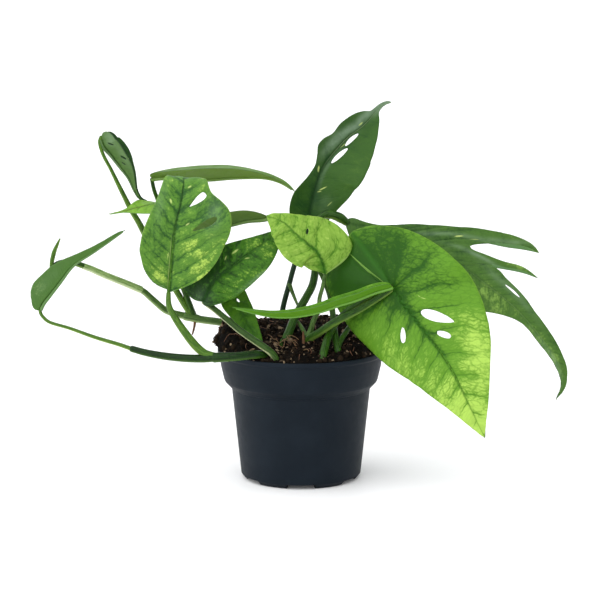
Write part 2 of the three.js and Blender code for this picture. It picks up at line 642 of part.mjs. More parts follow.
// Stems and stalks: points along each one's middle, and its radii spread evenly from start to end.
const STEMS = {
  vine_front: {
    trail: {
      radii: [3, 2.9, 3.1, 2.9, 2.7, 2.3],
      points: [
        [-13, -32, 86], [-17, -37, 92], [-22, -42.5, 96.6], [-27, -47.5, 98.4], [-34, -53, 99.2],
        [-42, -58, 99.2], [-50.5, -60.5, 99], [-59.4, -61, 98.7], [-68.4, -61.5, 98.2],
        [-78.8, -61, 98.3], [-89.2, -60, 99], [-99, -59, 100.2], [-108.7, -58, 102],
        [-117.2, -57, 104.2],
      ],
    },
    farStalk: {
      radii: [1.6, 1.4, 1.2, 1.2],
      points: [
        [-113, -57.4, 102.6], [-126, -56, 107], [-143, -55, 112], [-160, -54, 118], [-171, -53, 121],
        [-176, -52, 123], [-180, -51, 127], [-181, -50.2, 129.8],
      ],
    },
    heartStalk: {
      radii: [2.9, 3, 3, 2.7, 2.3, 1.6],
      points: [
        [-50, -60, 98.9], [-56.7, -60.5, 98.9], [-61.5, -60.5, 99.8], [-66.4, -60.3, 101.4],
        [-70.5, -59.5, 104.4], [-74.7, -58.5, 108.6], [-79.5, -57, 114.6], [-84, -55, 120.6],
        [-88, -53, 126.6], [-91, -51, 131.6], [-92, -48.4, 136.2], [-92, -46.1, 141.4],
      ],
    },
    node: {
      radii: [3.6, 3.3],
      points: [[-60, -61, 98.8], [-54, -60.6, 98.9], [-50, -60.3, 99]],
    },
  },
  vine_back: {
    trail: {
      radii: [2.6, 2.8, 2.8, 2.5, 2.3, 2.2, 2.1],
      points: [
        [-34, 17, 92], [-39, 18.5, 100], [-47, 19.5, 106.8], [-59, 20, 109.4], [-72, 21, 111],
        [-81, 22, 112.8], [-89.5, 22, 114.7], [-94.6, 22, 116.1], [-99, 21, 118.3], [-104, 20, 122.7],
        [-109.5, 18.5, 128.1], [-114.4, 16.5, 132.8], [-123.5, 13, 137.8], [-131.7, 9, 141.7],
        [-141.3, 4, 146.5], [-149.4, 0, 151.1],
      ],
    },
    node: {
      radii: [3.3, 3.1],
      points: [[-84, 22, 113.4], [-80, 22, 112.6], [-75, 21.6, 111.5]],
    },
    root: {
      radii: [1.2, 0.9, 0.6],
      points: [[-77, 21, 112], [-77.5, 20, 106.5], [-79, 19, 100.5]],
    },
    sheath: {
      radii: [2.5, 2.4, 1.9, 1.2],
      points: [
        [-117, 15.5, 134.6], [-124, 12.6, 138.4], [-132, 9, 142.2], [-141.3, 4.2, 147],
        [-149, 0.4, 151.2],
      ],
    },
    tip: {
      radii: [2.1, 2.1, 1.9, 1.3],
      points: [
        [-148, 0.8, 150.6], [-156, -4, 154.6], [-162, -8, 157.2], [-167.4, -11.5, 158.4],
        [-172, -14, 157.4],
      ],
    },
    rolledLeaf: {
      radii: [1.3, 1.1, 0.9, 0.6],
      points: [
        [-172.4, -14, 155.6], [-174.6, -15, 158.5], [-174.4, -16, 163.2], [-173, -16.5, 168.2],
        [-170.8, -17, 172.6], [-168.5, -18, 176.2],
      ],
    },
    highStalk: {
      radii: [2.3, 2.3, 2.4, 2.3, 1.8, 1.3, 0.9],
      points: [
        [-79.5, 22, 113.5], [-85.4, 21.5, 123.2], [-91, 20.5, 133.3], [-102, 18.5, 153],
        [-111, 17, 171.2], [-117, 16, 183.3], [-121.7, 15, 191.4], [-125.6, 14.5, 199.4],
        [-131.3, 13.5, 211.5], [-136, 13, 221.6], [-141, 12.5, 230.5], [-143.8, 12, 237],
        [-144.8, 12, 242], [-143.8, 12, 244.9],
      ],
    },
    archingStalk: {
      radii: [2.2, 2, 1.8, 1.6, 1.4],
      points: [
        [-78, 22, 112.5], [-81, 21, 122], [-86, 19, 137], [-93, 15, 162.5], [-101, 12.5, 194],
        [-105, 11, 206.6], [-106.7, 10.2, 215],
      ],
    },
    youngStalk: {
      radii: [1.9, 1.6, 1.4, 1.2],
      points: [
        [-77, 23.5, 112], [-80.5, 25, 121], [-86, 24, 137], [-88, 19, 152], [-89.5, 13.5, 164],
        [-91, 8.5, 176], [-91, 4, 188], [-88.6, 0.6, 197], [-87.3, -0.8, 201.3],
      ],
    },
  },
  stem_centre: {
    stump: {
      radii: [3.6, 3.2],
      points: [[2, -16, 84], [3, -19, 95], [4, -21.5, 105]],
    },
    broadStalk: {
      radii: [3, 2.8, 2.6, 2.2, 2],
      points: [
        [3.6, -21, 102], [7, -24.6, 106], [13, -31, 111], [20, -36.4, 117], [26, -38.4, 121],
        [39, -39.4, 127.7], [49, -39, 133.6], [58, -40.2, 139.6], [62.4, -41.2, 143],
      ],
    },
    limeStalk: {
      radii: [2.2, 1.8, 1.5, 1.3],
      points: [
        [4, -21.5, 104], [7, -20.6, 111], [9, -22, 118], [12.6, -23, 126], [13, -25, 134],
        [15, -27, 142], [16.9, -27.9, 151.5],
      ],
    },
    bract: {
      radii: [1.8, 1.4, 0.7],
      points: [[4, -19.6, 104], [2.6, -15, 107.6], [-0.9, -10, 113], [-5.9, -6, 119.5]],
    },
  },
  stalk_mottled: {
    stalk: {
      radii: [2.4, 2.5, 2.4, 2.2, 2.1],
      points: [
        [-14, -50, 86], [-16.6, -50.8, 93.7], [-20, -50.8, 99.6], [-25, -50, 103.6],
        [-33, -45.6, 108.2], [-43, -38.6, 114], [-52, -33, 120.5], [-60, -28.6, 126.4],
        [-66, -27.1, 130.6], [-68.4, -27, 132.3],
      ],
    },
  },
  stalk_strap: {
    stalk: {
      radii: [2.9, 2.8, 2.4, 1.8, 1.5],
      points: [
        [14, -46, 86], [15, -50, 96.5], [16.6, -44, 102], [18.6, -36, 107.4], [20.6, -31.4, 111],
        [23.4, -29.6, 116], [27.4, -29.4, 121], [34, -31, 127.4], [43, -33.5, 133.5], [54, -37.4, 142],
        [60, -41.8, 146.2], [62.6, -45.1, 146.4],
      ],
    },
  },
  stalk_tall: {
    stalk: {
      radii: [2.1, 2, 1.9, 1.8],
      points: [
        [-14, 28, 88], [-14, 30, 107], [-13.6, 29.6, 115.5], [-11.8, 29, 124.2], [-8.4, 29, 136.5],
        [-5.8, 29, 146.4], [-1, 29.6, 162], [4, 31.8, 174], [5.6, 32.6, 180.6],
      ],
    },
    shoot: {
      radii: [1.7, 1.3, 0.9],
      points: [[-8.6, 28.4, 136], [-5.6, 24, 129], [-2.4, 19, 122]],
    },
  },
  stalk_split: {
    stalk: {
      radii: [3, 3, 2.8, 2.6, 2.4],
      points: [
        [-13, -24, 88], [-11, -21, 103], [-8, -17, 110], [-5, -12, 117], [-1, -8, 124], [4, -4, 132],
        [8.6, 0, 141], [10.6, 3.4, 155], [10.4, 8, 171], [12, 11, 183], [16, 12.4, 188.6],
        [22, 13, 189.6], [27, 13.6, 187.6], [31.7, 14, 184.5],
      ],
    },
  },
  stalk_olive: {
    stalk: {
      radii: [2.6, 2.2, 1.8, 1.4],
      points: [
        [26, -36, 84], [26, -38, 98], [24.6, -32, 105], [23.6, -24, 112], [22.8, -15, 120],
        [19.6, -8, 137], [10, -6.4, 157], [-6, -5.4, 176], [-17, -4.4, 184.4], [-23, -4.1, 188.4],
      ],
    },
    shoot: {
      radii: [2.2, 2, 1.6],
      points: [[25.6, -36, 101], [28.6, -29, 106], [34, -20.5, 112.6], [38, -14, 117]],
    },
  },
  stalk_low: {
    stalk: {
      radii: [1.6, 1.4, 1.3],
      points: [
        [-31, 8, 90], [-33, 6, 104], [-36, 1, 117], [-42, -3, 130], [-48.4, -5.4, 139.4],
        [-50.6, -5.8, 141.5],
      ],
    },
  },
};

function tubes(parts, grow) {
  return Object.values(parts).map(({ points, radii }) => stem(points, radii, grow));
}

const plant = new THREE.Group();

function addPiece(name, geometry, material) {
  const mesh = new THREE.Mesh(geometry, material);
  mesh.name = name;
  plant.add(mesh);
}

const stemGreen = finish(0x5c8a3c, 0.45);

addPiece('pot', shape(pot()), finish(0x2b333b, 0.42));
const holes = Object.values(STEMS).map((parts) => joined(tubes(parts, GAP)));
addPiece('soil', shape(soil(holes)), finish(0x1d130d, 0.95));
for (const [name, parts] of Object.entries(STEMS)) {
  addPiece(name, shape(joined(tubes(parts))), stemGreen);
}
for (const [name, spec] of Object.entries(BLADES)) {
  addPiece(name, blade(spec), finish(spec.colour, 0.38));
}

export default plant;
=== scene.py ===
"""A potted cebu blue pothos in a dark nursery pot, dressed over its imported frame.

Sizes are written in millimetres and turned into metres where a mesh is made. +X is the plant's
right, -Y its front, and the origin is the middle of the pot's underside.
"""

import math

import bmesh
import bpy
import numpy as np
from bpy.props import FloatProperty, FloatVectorProperty, IntProperty, PointerProperty
from bpy.types import Operator, Panel, PropertyGroup
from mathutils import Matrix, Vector


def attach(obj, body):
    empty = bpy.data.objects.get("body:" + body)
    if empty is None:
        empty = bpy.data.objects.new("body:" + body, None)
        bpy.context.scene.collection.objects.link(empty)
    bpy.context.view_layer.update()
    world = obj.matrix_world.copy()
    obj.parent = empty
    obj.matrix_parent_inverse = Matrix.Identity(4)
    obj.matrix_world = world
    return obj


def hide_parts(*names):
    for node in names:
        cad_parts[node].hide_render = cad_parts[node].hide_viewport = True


bl_info = {
    "name": "Potted pothos",
    "version": (1, 0, 0),
    "blender": (4, 5, 0),
    "location": "3D View > Sidebar > Pothos",
    "description": "Builds a potted trailing aroid with veined blades, stalks, soil and its pot",
    "category": "Object",
}

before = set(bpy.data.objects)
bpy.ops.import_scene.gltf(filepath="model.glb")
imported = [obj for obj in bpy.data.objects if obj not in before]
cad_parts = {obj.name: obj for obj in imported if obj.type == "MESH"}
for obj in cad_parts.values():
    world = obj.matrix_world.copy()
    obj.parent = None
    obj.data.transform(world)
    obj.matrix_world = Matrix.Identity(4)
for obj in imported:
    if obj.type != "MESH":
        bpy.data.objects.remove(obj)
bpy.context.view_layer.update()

MM = 0.001
TURN = 2 * math.pi

# Camera: where it stands and looks, in millimetres, and its lens for a 36 mm sensor
CAMERA_PLACE = (-0.7, -1514, 380)
CAMERA_TARGET = (-0.7, 0, 129)
CAMERA_LENS, SENSOR_WIDTH = 128.46, 36

# Studio: the backdrop paper's half side and its own faint glow, which thins the wide shadows;
# how much brighter than its middle the sky is at the left; and each lamp's way, share of the
# main strength and width in degrees
PAPER_HALF, PAPER_GLOW = 25000, 0.03
PAPER_WHITE, PAPER_GREY = (0.9, 0.9, 0.9, 1), (0.89, 0.89, 0.89, 1)
SKY_COLOUR, SKY_LEAN = (0.97, 0.98, 1, 1), 0.3
LAMPS = {"key": ((0.5, 0.5, -0.75), 1, 115), "rim": ((-0.9, -0.1, -0.35), 0.14, 60)}

# Pot: its wall as (radius, height) up the outside and down the inside, the radius of its
# corners, and its feet, floor, drain holes and the boss under it
POT_OUTSIDE = ((36.9, 0), (40.4, 0), (43.3, 3.4), (49.9, 66.1), (50.8, 66.5), (51.3, 67.3),
               (54.8, 71), (55.4, 72.5), (57.6, 82), (58.6, 90), (60, 91.4), (60, 94))
POT_INSIDE = ((58.3, 94), (56.9, 90), (53.7, 72.5), (47.7, 62), (41.6, 5.4), (39.6, 4.4),
              (36.9, 4.4), (36.9, 0.2))
POT_CORNER = 0.3
FEET, NOTCH_HALF_TURN = 6, math.radians(14.5)
FLOOR_BOTTOM, FLOOR_TOP, FLOOR_RADIUS = 2.9, 4.4, 37.3
DRAIN_RADIUS, DRAIN_CIRCLE = 4, 26
BOSS_RADIUS, BOSS_HEIGHT, BOSS_CORNER = 8, 2.4, 0.5

# Soil: its side against the pot, its top's edge, level, mound and shoulder, the share of the
# mound at the front, its lumps as height, width, seed and shift, and the bulge at the left,
# which grows out and up from a radius on; then the crumbs, root fibres and straws on it
SOIL_SIDE = ((57.9, 93.6), (56.4, 90), (53.2, 72.5), (47.2, 62), (41.2, 5.8), (39.3, 4.8),
             (0.01, 4.8))
SOIL_EDGE, SOIL_LEVEL, SOIL_MOUND, SOIL_SHOULDER, SOIL_FRONT_SHARE = 58, 96, 13, 7, 0.15
SOIL_DIP, SOIL_FRONT, SOIL_SLOPE = 1.5, -50, 55
SOIL_LUMPS = ((1.5, 11, 1, 90), (0.9, 4.5, 2, 0), (0.5, 2.1, 3, 0))
BULGE, BULGE_TURN, BULGE_SPREAD = 5.5, math.radians(172), math.radians(28)
BULGE_OUT_FROM, BULGE_OUT_OVER, BULGE_UP_FROM, BULGE_UP_OVER = 38, 20, 40, 15
CRUMB_CIRCLE, CRUMB_LEAST, CRUMB_SPREAD, CRUMB_DENT = 58.6, 0.5, 1.7, 0.22
ROOT_FIBRES, ROOT_RADII, ROOT_LENGTHS = 70, (0.16, 0.28, 0.16), (4, 13)
ROOT_CIRCLE, ROOT_EDGE = 56, 57
STRAWS, STRAW_RADII, STRAW_LENGTHS, STRAW_HEAP = 11, (0.2, 0.32, 0.14), (5, 11), (-8, -27)

# Colours, 0-255 as they show
SLIT_COLOUR = (196, 214, 124)
# painted sheen: a grey-green highlight painted into the blades' colour
PAINTED_SHEEN_COLOUR = (142, 166, 140)
SPECK_COLOUR = (178, 178, 120)
DRY_SOIL = (36, 27, 18)
FIBRE_LOOKS = {
    "root_fibre": dict(skin=(104, 66, 40), streak=(66, 40, 26), belly=(140, 102, 66), gloss=0.7),
    "straw_fibre": dict(skin=(116, 88, 54), streak=(78, 56, 34), belly=(150, 124, 86), gloss=0.7),
}

# Shine of each surface, and the share of a blade's light that passes through it
LEAF_SHINE, STEM_SHINE, POT_SHINE, SOIL_SHINE = 0.14, 0.16, 0.12, 0.06
LIGHT_THROUGH = 0.14

# Pattern of a blade, in millimetres: how far it is made wavy and by waves of what size, lumps of
# its clouds, mottling, grain and wandering veins, cells of its net and of the fine one, and half
# widths of the furrow and of the line along the rib, at the base and at the tip
WAVY, WAVE_SIZE = 5, 7
CLOUDS, MOTTLING, GRAIN, WANDER = 9, 3.4, 1.4, 15
NET, FINE_NET = 3.6, 1.3
FURROW, RIB_LINE, RIB_LINE_CORE = (3.2, 1.2), (1.0, 0.4), 0.1

WAVE_SHIFT = 1.3  # how far the two margins' waves are out of step, in radians
LAYER = 0.11  # how far apart the patterns of two blades are read, in metres
RIB_RADII, RIB_STEPS = (1.15, 0.25), 24  # the ridge under a rib, base to tip, and its points

# How fine the meshes are: samples between two points of a curve, points round the pot's wall,
# its floor and the soil, rings of the last two, and the blades' steps across, along and round
# the base's fan in millimetres
SPAN_STEPS = 32
WALL_SIDES, FLOOR_SIDES, SOIL_SIDES = 144, 180, 220
FLOOR_RINGS, SOIL_RINGS = 60, 76
ROW_STEP, COLUMN_STEP, FAN_STEP = 1.5, 0.95, 1.6

# The thirteen blades, flat in millimetres: along the rib from the base, and across from it.
# rib is the rib's place in space; face is the way that the upper side looks, base to tip;
# fold and curl are the two halves' angles in degrees, left and right, curl within the reach;
# wave is the margin's height, number and start; lean says how far the veins slant, and bow how
# far they arch; left and right are the halves' outlines between base and tip; slots are ovals
# from one end to the other, with their half width and the sharpness of their ends.
BLADE_USUAL = dict(
    curl=(0, 0), reach=15, wave=(0, 1, 0), lean=(0.6, 0.6), bow=0.12, left_roots=None, slots=(),
)
BLADES = {
    "leaf_heart": dict(
        rib=((-92, -46, 142), (-89, -50, 172), (-87, -51, 187), (-83, -50, 204), (-81, -46, 217),
             (-81, -40, 221.5), (-82, -32, 218)),
        face=((0.1, -1, 0.15), (0.1, -1, 0.15), (0.1, -1, 0.15), (0.1, -1, 0.2), (0.1, 0.2, 1)),
        fold=((28, 28, 24, 8, 0), 6), curl=(-12, -12), reach=35, wave=(1, 2.5, 2), lean=(0.9, 0.9),
        left=((4.9, 3.2), (6.1, 9.5), (10.7, 15.2), (18, 20.3), (25.9, 23.1), (30.5, 24.4),
              (37.7, 23.9), (44, 22.5), (51, 20.2), (60, 17.7), (68, 16), (75, 14.7), (81.7, 13.1),
              (90, 7)),
        right=((2.5, 5), (7.5, 15.7), (14.5, 24.2), (23, 30.3), (33, 34.4), (45, 37.5), (58, 37.5),
               (65, 34), (70, 27), (73.9, 20.2), (77.6, 17.7), (83, 15.3), (90, 9)),
        slots=((62.7, 6.5, 73, 16, 2.3, 1, 0.35), (46.6, 11.9, 60.1, 26.9, 2.4, 1, 0.6)),
    ),
    "leaf_high_left": dict(
        rib=((-142, 12, 243), (-140, 12, 238), (-135, 12, 232), (-129, 11, 224), (-123, 10, 216),
             (-119, 9, 207), (-116, 9, 202), (-113.5, 10, 200.2), (-110.3, 10.8, 199.6)),
        face=((0.5, 0, 0.86), (0.86, 0, 0.5), (0.9, 0, 0.3)), fold=(50, 40),
        left=((-3.5, 4.5), (-3, 9), (1.5, 12.8), (8, 14.7), (14.2, 14.7), (22.3, 12.7), (30, 8.8),
              (35.6, 5.6), (43, 3), (50, 1.8)),
        right=((-4, 3.5), (-4.8, 8), (-2.6, 13), (3, 16.6), (9, 17.4), (15, 16.4), (21.7, 15),
               (26.5, 13.4), (30.6, 10.6), (36.8, 5.7), (43.7, 2.6), (50, 1.5)),
        slots=((3, 5.5, 8.5, 10.6, 1, 0.6, 0.6), (17.5, 8, 22.8, 12.4, 1.2, 0.6, 0.6),
               (21.8, 5, 25.2, 6.9, 0.8, 0.6, 0.6)),
    ),
    "leaf_far_left": dict(
        rib=((-181, -50, 131), (-179, -50, 135), (-175, -49, 140), (-167, -47, 150),
             (-158, -45, 161), (-144, -43, 170), (-135, -42, 176), (-122, -41, 185)),
        face=((-0.6, 0.3, 0.65),), fold=(60, 55),
        left=((-1.5, 2), (1, 7), (6, 11.5), (13, 13.5), (21, 13.5), (29, 12), (37, 9), (47, 6),
              (60, 4), (72, 2)),
        right=((-1.4, 0.9), (-1.7, 3.8), (0.6, 6.3), (3.2, 8.1), (5.8, 12), (11, 14.2),
               (21.9, 13.1), (28.1, 12), (32.7, 9.9), (41.2, 6), (53, 4.1), (64.9, 2.8), (77, 1.6)),
    ),
    "leaf_arching": dict(
        rib=((-106.5, 10, 215.8), (-97.4, 5, 217), (-81.2, -1, 216.2), (-64, -5, 216.6),
             (-51, -8, 217.8), (-38, -10, 218.4), (-25, -11, 218), (-14, -12, 214.8),
             (-4, -13, 208.5)),
        face=((0, 0, 1),), fold=(23, 32),
        left=((-3, 4), (-3.5, 7.5), (1.1, 10.3), (9.5, 12), (16.2, 15.1), (27.9, 19.3),
              (40.6, 20.5), (49.3, 20.4), (60.4, 17.2), (72.6, 12.8), (81.7, 8.7), (90.8, 5.6),
              (102.6, 3)),
        right=((0.5, 4), (3, 5.8), (14.7, 9.4), (23.1, 12.9), (34.3, 15.6), (45.9, 16.8),
               (56.6, 15.5), (65.8, 13.5), (75.1, 10.1), (82.7, 5.8), (89.6, 3), (102.9, 0.8)),
    ),
    "leaf_olive": dict(
        rib=((-24, -4, 189), (-29, -4, 188), (-38, -3, 187), (-49, -2, 184), (-63, -1, 180),
             (-75, 0, 177), (-86, 0.5, 174.6)),
        face=((0, 0.3, 1),), fold=(25, 25),
        left=((0.5, 3), (2, 5), (5.5, 8.2), (10.5, 10.8), (16.5, 13), (22, 14.3), (30, 16.3),
              (40, 16), (49, 12), (57.5, 6)),
        right=((0.5, 3), (5, 6), (12, 7.5), (20, 8), (30, 8.5), (40, 8), (50, 6.5), (58, 4)),
    ),
    "leaf_mottled": dict(
        rib=((-69, -30, 133), (-61, -31, 147), (-47, -31, 159), (-32, -29, 170), (-21, -27, 178),
             (-14, -25, 183)),
        face=((0.1, -1, 0.5), (0.2, -1, 0.5)), fold=(5, 5), curl=(-25, -15), reach=22,
        left=((-1.5, 3), (-2, 9), (1, 16.5), (8, 20), (18, 20.5), (29, 18.5), (40, 15), (50, 11),
              (60, 7), (69, 3.5)),
        right=((-2, 2), (-1, 5), (2, 9), (7, 14), (16.5, 18.3), (27.5, 19), (41, 18.3), (52, 16.5),
               (61, 13), (69, 7.5)),
    ),
    "leaf_lime": dict(
        rib=((17, -28, 152), (15, -31, 160), (11, -34, 169), (4, -37, 175), (-5, -39, 183),
             (-12, -40, 190), (-24, -40, 195)),
        face=((0.1, -1, 0.35), (0.1, -1, 0.45)), fold=(3, 3), curl=(-20, -20), reach=30,
        left=((2.1, 2), (5.6, 6.5), (10, 10.9), (20.8, 15.5), (27.2, 17.2), (36, 17.7),
              (41.2, 16.3), (44.9, 14.8), (55.2, 12.4), (58.2, 8.1), (61.5, 4)),
        right=((2.6, 4.9), (5.1, 10.8), (6.2, 16.7), (7.3, 21.5), (9.5, 24.7), (13.8, 25.6),
               (18, 25), (22.8, 23.7), (31.8, 21.4), (37.6, 18), (45.8, 13), (49.4, 9), (54.7, 5.7),
               (60.9, 2.8)),
        slots=((32.6, 4.8, 34.8, 9, 1, 0.6, 0.6),),
    ),
    "leaf_broad": dict(
        rib=((64, -38, 143), (73, -44, 131), (85, -51, 116), (98, -58, 100), (108, -64, 83),
             (127, -70, 44)),
        face=((-0.5, -1, 0.3), (-0.2, -1, 0.35)), fold=(4, 2), curl=(-22, -25), reach=45,
        wave=(1.2, 3, 0),
        left=((-10, -4.8), (-22, -8), (-37, -10.6), (-46, -9.5), (-50.7, -1.1), (-49.5, 5),
              (-44.4, 15.7), (-37.2, 24.2), (-28.2, 32.5), (-18.1, 38.5), (-6.5, 43.4), (6.2, 47.3),
              (20.9, 49.2), (35, 47.8), (47, 45), (56.5, 40), (64, 35.5), (74, 28.6), (87, 21),
              (101, 13.2), (114.5, 4.8)),
        right=((-10, 4.6), (-22, 7.7), (-38, 10.3), (-46.5, 12), (-46, 24), (-41, 35), (-30, 41.6),
               (-19, 44), (-9, 44.8), (5, 44.5), (18, 42), (33, 38.6), (48, 33.6), (62, 29.2),
               (77.5, 23.2), (95.6, 13.7), (113.8, 4.7)),
        slots=((25.2, -6.8, 46, -20.7, 3.6, 0.5, 0.8), (43.2, -6.3, 52.5, -12.5, 2.1, 0.6, 0.5),
               (25.1, 9.9, 34.5, 17.1, 2, 0.8, 0.5)),
    ),
    "leaf_strap": dict(
        rib=((63, -47, 146), (51, -48, 142.5), (39, -50, 138), (26, -51, 134), (16, -52, 130.5),
             (7, -52, 128), (-3, -52, 126.3), (-12, -52, 125.7), (-22, -51, 126.2), (-36, -50, 129),
             (-48, -48, 132)),
        face=((0, -0.2, 1),), fold=(60, 60), reach=8,
        left=((1, 3), (6, 5.2), (25, 6.2), (50, 6.2), (75, 5.2), (95, 3.2), (107, 1.6)),
        right=((1, 3), (6, 5.2), (25, 6.2), (50, 6.2), (75, 5.2), (95, 3.2), (107, 1.6)),
    ),
    "leaf_tall": dict(
        rib=((6, 30, 182), (7, 30, 193), (11, 29, 209), (15, 29, 220), (22, 30, 230), (33, 32, 242),
             (45.5, 33, 251.7), (56.4, 35, 263.5), (60.7, 36, 266.6), (65.5, 37, 267.8)),
        face=((-0.2, -1, 0.35), (-0.3, -1, 0.3), (-0.2, -1, 0.2)), fold=((15, 40, 55, 50, 30), 6),
        curl=(0, -8), reach=30,
        left=((-4, 6.4), (-1, 11.8), (5.3, 14.8), (13, 15.2), (19.4, 14.2), (27, 10.6), (34, 7.4),
              (40, 6.4), (46, 10), (51, 14.5), (56, 15), (63.6, 12), (72.3, 13.9), (83.4, 13),
              (90.6, 8.6), (95, 3.7), (98.5, 2.9), (102.7, 2.3), (108.8, 1.3)),
        right=((-2.8, 5.5), (-1.5, 11), (3.6, 15.8), (13.7, 20.6), (19.3, 23.4), (26, 26.8),
               (35, 29.6), (44.6, 31), (52, 30.8), (59, 29.1), (67, 26.8), (75.7, 23), (81.7, 16.9),
               (87.6, 11.1), (93.8, 6.1), (97.7, 2.3), (102, 1.1), (106.5, 0.7)),
        slots=((47, 3.7, 63.3, 6.1, 1.9, 0.6, 0.6), (63.2, 3.4, 77, 2.6, 1.6, 0.6, 0.6)),
    ),
    "leaf_split": dict(
        rib=((32, 14, 184), (57, 14, 176), (86, 14, 166), (111, 13, 155), (134, 11, 138),
             (154, 9, 122), (172, 6, 102), (185, 3, 84), (189, 1, 68), (184, -1, 56)),
        face=((0, -1, 0.45), (0.2, -1, 0.4), (0.5, -1, 0.3)), fold=(-4, -4), curl=(-8, -8),
        reach=40, wave=(0.7, 5, 1), bow=0.0,
        left=((3.1, 3.9), (15, 4.1), (27, 6.1), (45.1, 13.5), (62, 19.7), (78, 26.5), (94.5, 37.6),
              (106.2, 45.7), (116.5, 49.5), (124, 50.3), (129.6, 47.8), (122.9, 46), (113.3, 41),
              (99, 29.4), (87.9, 16.3), (89.8, 15.5), (100.2, 19), (114.4, 24.2), (126.7, 29.8),
              (137.9, 30.8), (130, 28.1), (117.1, 20.8), (106.3, 15.4), (108.4, 15.1), (115, 15.5),
              (121.4, 13.9), (131.8, 12.8), (141.7, 11.5), (150.1, 10), (161.6, 9.3), (175.2, 8),
              (186, 6.3), (195.5, 5.5), (202.4, 3.8), (209.4, 2.3)),
        # where the line from each of those points meets the rib, because fingers overhang it
        left_roots=(1, 6, 12, 22, 30, 36, 41, 45, 48, 50, 53, 55, 58, 62, 67, 68, 71, 75, 79, 83,
                    86, 89, 92, 94, 99, 107, 119, 130, 140, 153, 168, 180, 190, 198, 206),
        right=((2, 4), (8, 12), (20, 20), (36, 27), (55, 32), (72, 34), (90, 32), (108, 26.3),
               (124, 16.2), (137, 9.7), (147.5, 5.2), (154, 3.8), (171, 4), (183, 3.7), (193, 3.1),
               (203, 1.8), (210, 1)),
        slots=((123.5, -9.3, 137.3, -8.9, 0.9, 0.6, 0.6),),
    ),
    "leaf_low": dict(
        rib=((-51, -8, 142), (-45, -13, 128), (-37, -20, 114), (-27, -27, 103.6)),
        face=((0.3, -1, 0.3),), fold=(0, 0), curl=(-10, -10), reach=22,
        left=((1, 4.5), (7.7, 9), (16, 9.4), (23.4, 9.2), (30, 8.1), (37.7, 5.8), (44, 3)),
        right=((1, 5), (8, 10), (13.2, 11), (21, 9.4), (31.7, 6), (42, 3)),
        slots=((11.8, -1.1, 15.2, -1.9, 0.7, 0.6, 0.6),),
    ),
    "leaf_young": dict(
        rib=((-88, -1, 202.5), (-97, -1, 199.5), (-106, -2, 198.4), (-118, -3, 195.4),
             (-126, -3, 193.4), (-137, -3, 191.4)),
        face=((0, -0.6, 1),), fold=(5, (-45, -38, -15, 5, 5)),
        left=((1, 5), (6, 10), (14, 12.8), (21.5, 11.3), (28.3, 8), (33.4, 4.8), (38.3, 2.1),
              (43.4, 1)),
        right=((1, 4.5), (6, 8), (13, 9.2), (19, 10), (24, 11.3), (27.5, 11.5), (30.5, 8.9),
               (34.3, 5), (38, 2), (43.3, 0.8)),
    ),
}
